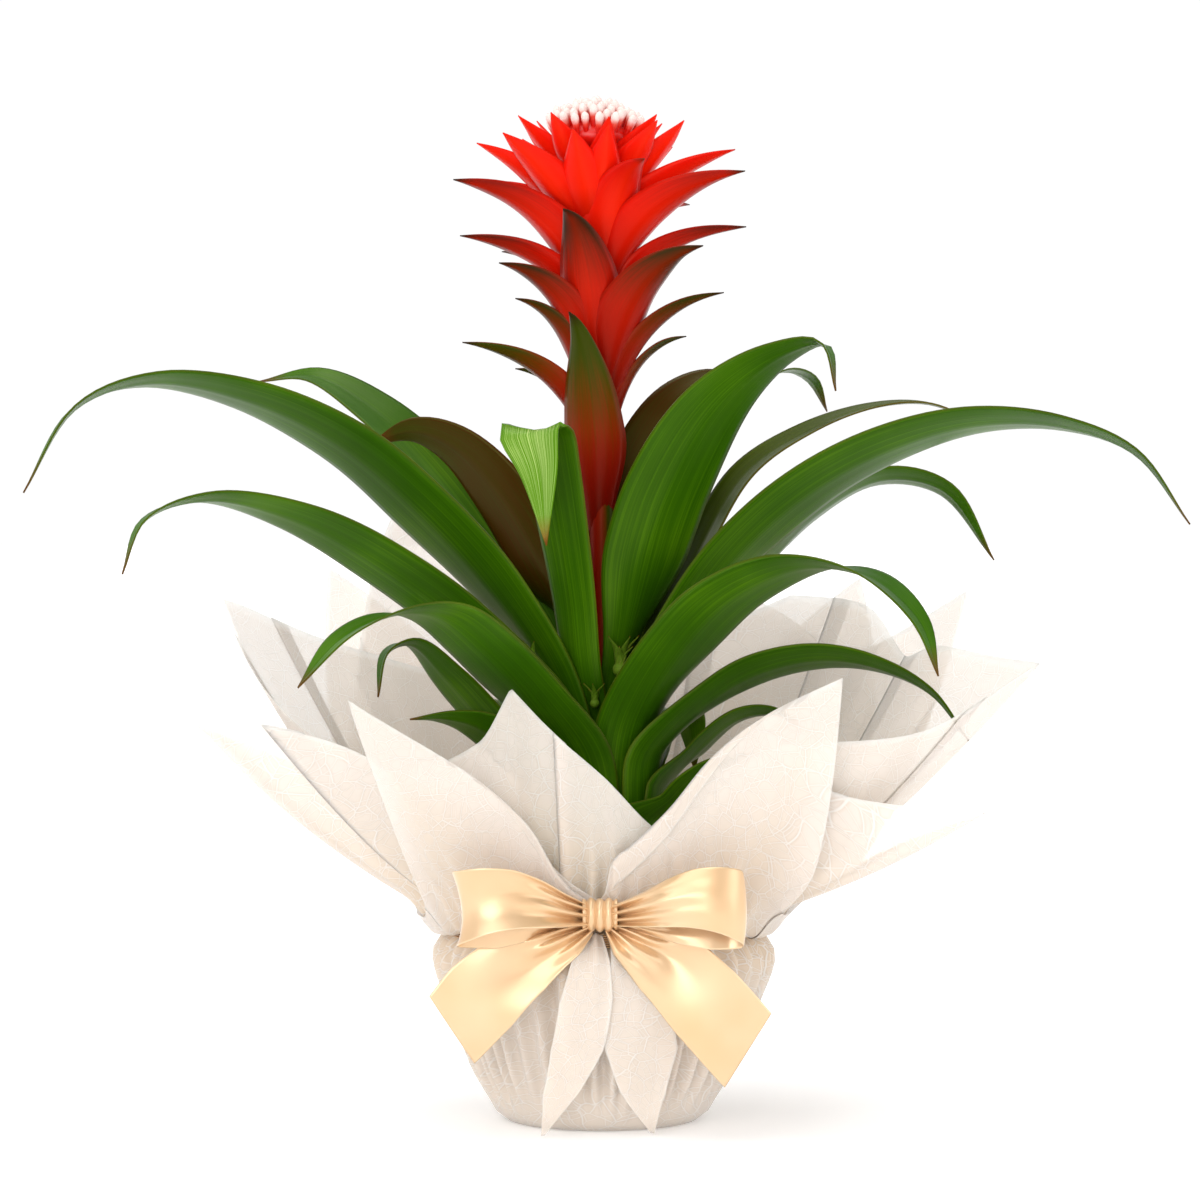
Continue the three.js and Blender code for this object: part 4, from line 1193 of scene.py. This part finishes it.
# The right loop's rows: a middle line and half the width. Each loop has a side, a stretch from
# LOOP_START outwards and a seed.
LOOP_START = 7.55
LOOPS = {"bow_loop_left": (-1, 1.0, 11), "bow_loop_right": (1, 1.08, 13)}
LOOP = [
    (5.8, -79.5, 99.5, 4.5), (15, -89, 102.5, 7), (25, -96.5, 106, 10), (37, -100.5, 108.5, 12.5),
    (47, -101.5, 108, 14), (55, -99.5, 106, 15.4), (59.5, -95, 104, 16), (59, -89, 102.8, 16.2),
    (53, -86, 101.8, 16), (44, -87, 101, 15.2), (33, -86, 100.5, 12.5), (21, -81, 100.2, 9),
    (12, -76.5, 100, 6), (5.8, -75.6, 99.5, 4.5),
]
RIBBON_WIDTH = 0.036
RIBBON_WALL = 0.3
PLEATS_ACROSS = 3
PLEAT_FULLNESS = 0.82


def pleat_depth(half):
    """Depth of the pleats that take up the ribbon's width where it is narrower than it lies flat"""
    full = RIBBON_WIDTH / MM / 2
    lost = np.sqrt(full ** 2 - np.minimum(half, full) ** 2)
    return PLEAT_FULLNESS * 1.5 * lost / (PLEATS_ACROSS * math.pi)


def ribbon_piece(node, grid, place, wall=RIBBON_WALL, closed=False):
    """A length of the ribbon. A closed one meets itself in a seam."""
    piece = grid_piece(node + "_satin", *grid, place)
    if closed:
        finish_mesh(piece, SEAM)
    thicken(piece, wall)
    finish_mesh(piece)
    stands_for(piece, node, SATIN)


def loop_piece(name, side, stretch, seed):
    rows = []
    for x, y, z, half in LOOP:
        x = KNOT_CENTRE[0] + side * (LOOP_START + stretch * (x - LOOP_START))
        rows.append(((x, y, z), (0, 0, 1), half))

    def pleats(u, v, half):
        near = np.minimum(u, 1 - u)
        fan = np.sin(PLEATS_ACROSS * math.pi * v + 0.7 * np.sin(2 * v + seed))
        creases = 1.1 * np.sin(v * 4.4 + seed) * np.exp(-((near - 0.16) / 0.12) ** 2)
        swell = 1.2 * np.sin(u * 8 + 1.5 * v + seed) * smooth(near / 0.2)
        cup = -2.6 * v ** 2 * smooth(near / 0.25)
        return pleat_depth(half) * fan * np.exp(-(near / 0.2) ** 2) + creases + swell + cup

    ribbon_piece(name, LOOP_GRID, strip_points(rows, pleats))


KNOT_GRID = (60, 90)
KNOT_PLEATS = 4
KNOT_PLEAT_DEPTH = 1.5
KNOT_FACE = 0.74
KNOT_TURNED_UNDER = 0.75


def knot_piece():
    """One turn of ribbon, gathered into upright pleats, with its edges turned under"""
    def place(u, v):
        turn = u * TAU
        face = np.minimum(np.abs(v) / KNOT_FACE, 1)
        under = np.clip((np.abs(v) - KNOT_FACE) / (1 - KNOT_FACE), 0, 1)
        pleats = KNOT_PLEAT_DEPTH * (np.abs(np.cos(KNOT_PLEATS * math.pi / 2 * face)) ** 0.8 - 1)
        pleats += 0.15 * np.sin(3 * turn + 5 * v) - 0.7 * face ** 6
        pleats += 0.4 - 1.5 * smooth(under / 0.3)
        return np.stack([
            KNOT_REACH[0] * np.sign(v) * (face - KNOT_TURNED_UNDER * under),
            (KNOT_REACH[1] + pleats) * np.cos(turn),
            (KNOT_REACH[2] + pleats) * np.sin(turn)], -1) + KNOT_CENTRE

    ribbon_piece(
        "bow_knot", KNOT_GRID, place, closed=True)


BAND_GRID = (200, 72)
BAND_RADIUS = 70.5
BAND_HEIGHT = 87.45
BAND_HALF = 2.95
BAND_PLEATS = 6
BAND_PLEAT_DEPTH = 1.1
BAND_WALL = 0.15


def band_piece():
    """The ribbon round the neck, its whole width bunched together"""
    def place(u, v):
        turn = u * TAU
        bunch = BAND_PLEAT_DEPTH * np.sin(BAND_PLEATS * math.pi * v + 0.9 * np.sin(7 * turn))
        points = heading(u * 360) * (BAND_RADIUS + bunch)[:, None]
        points[:, 2] = BAND_HEIGHT + BAND_HALF * v * (0.97 + 0.03 * np.sin(11 * turn))
        return points

    ribbon_piece(
        "ribbon_band", BAND_GRID, place,
        BAND_WALL, closed=True)


TAIL_GRID, TAIL_SEED = (90, 36), 21
POINT_GRID, POINT_SEED = (80, 24), 31
POINT_FLAT = (0.098, 0.028)
POINT_WALL = 0.3
TAILS = {
    "ribbon_tail_left": [
        ((-5.9, -77.5, 93.7), (0.8, 0, -0.6), 3), ((-20, -82, 87), (0.9, 0, -0.35), 11),
        ((-37, -82, 78), (0.75, 0, -0.6), 16), ((-52, -82, 64.5), (0.7, 0.05, -0.7), 18),
        ((-65, -81, 50), (0.54, 0.1, -0.84), 18)],
    "ribbon_tail_right": [
        ((3.9, -77.5, 93.7), (0.8, 0, 0.6), 3), ((15, -82, 87), (0.9, 0, 0.35), 11),
        ((29, -82, 78), (0.78, 0, 0.6), 16.5), ((44, -82, 62.5), (0.7, -0.05, 0.7), 18.5),
        ((63, -81, 41), (0.53, -0.1, 0.85), 19)],
}
POINTS = {
    "wrap_point_left": [
        ((-4, -71.7, 90), (1, -0.05, 0), 4), ((-5, -80, 79), (1, 0, 0), 8.4),
        ((-7, -79, 62), (1, 0, 0), 11.5), ((-11, -72.5, 40), (1, -0.05, 0), 11.5),
        ((-18, -66, 20), (1, -0.1, 0.1), 8), ((-26, -60, 1), (1, 0, 0.2), 0.8)],
    "wrap_point_right": [
        ((7, -71.5, 90), (1, 0.1, 0), 3.8), ((12.4, -78.5, 79), (1, 0.05, 0), 8.8),
        ((15, -76.5, 62), (1, 0, 0), 14), ((17, -69.5, 40), (1, 0.1, 0), 16),
        ((18, -62, 20), (1, 0.1, 0), 10), ((22, -54, 1), (1, 0.1, 0), 0.8)],
}


def tail_piece(name, rows, seed):
    def folds(u, v, half):
        fan = np.sin(PLEATS_ACROSS * math.pi * v + seed) * np.exp(-(u / 0.3) ** 2)
        crease = np.sin(v * 3.4 + 2.2 * u + seed) * np.exp(-((u - 0.3) / 0.28) ** 2)
        wave = np.sin(u * 6.5 + v * 1.2 + seed) * smooth(u / 0.4)
        return pleat_depth(half) * fan + 1.5 * crease + 1.4 * wave

    ribbon_piece(
        name, TAIL_GRID, strip_points(rows, folds))


def point_piece(name, rows, seed):
    def folds(u, v, half):
        return 0.9 * np.exp(-(u / 0.2) ** 2) * np.sin(v * 6) + 0.8 * wander(u * 4 + v * 1.2, seed)

    piece = grid_piece(name + "_cloth", *POINT_GRID, strip_points(rows, folds))
    along, across = grid_places(piece)
    mark(piece, "open", 0.75)
    mark(piece, "rim", smooth((np.abs(2 * across - 1) - 0.9) / 0.08))
    mark_flat(piece, POINT_FLAT[0] * along, POINT_FLAT[1] * across)
    thicken(piece, POINT_WALL)
    finish_mesh(piece)
    stands_for(piece, name, FABRIC)


for name, loop in LOOPS.items():
    loop_piece(name, *loop)
knot_piece()
band_piece()
for number, (name, rows) in enumerate(TAILS.items()):
    tail_piece(name, rows, TAIL_SEED + number)
for number, (name, rows) in enumerate(POINTS.items()):
    point_piece(name, rows, POINT_SEED + number)


# Carried-over solids: the nursery pot and the soil

for name, material in (("nursery_pot", pot_finish()), ("potting_soil", soil_finish())):
    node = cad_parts[name]
    node.data.materials.clear()
    node.data.materials.append(material)
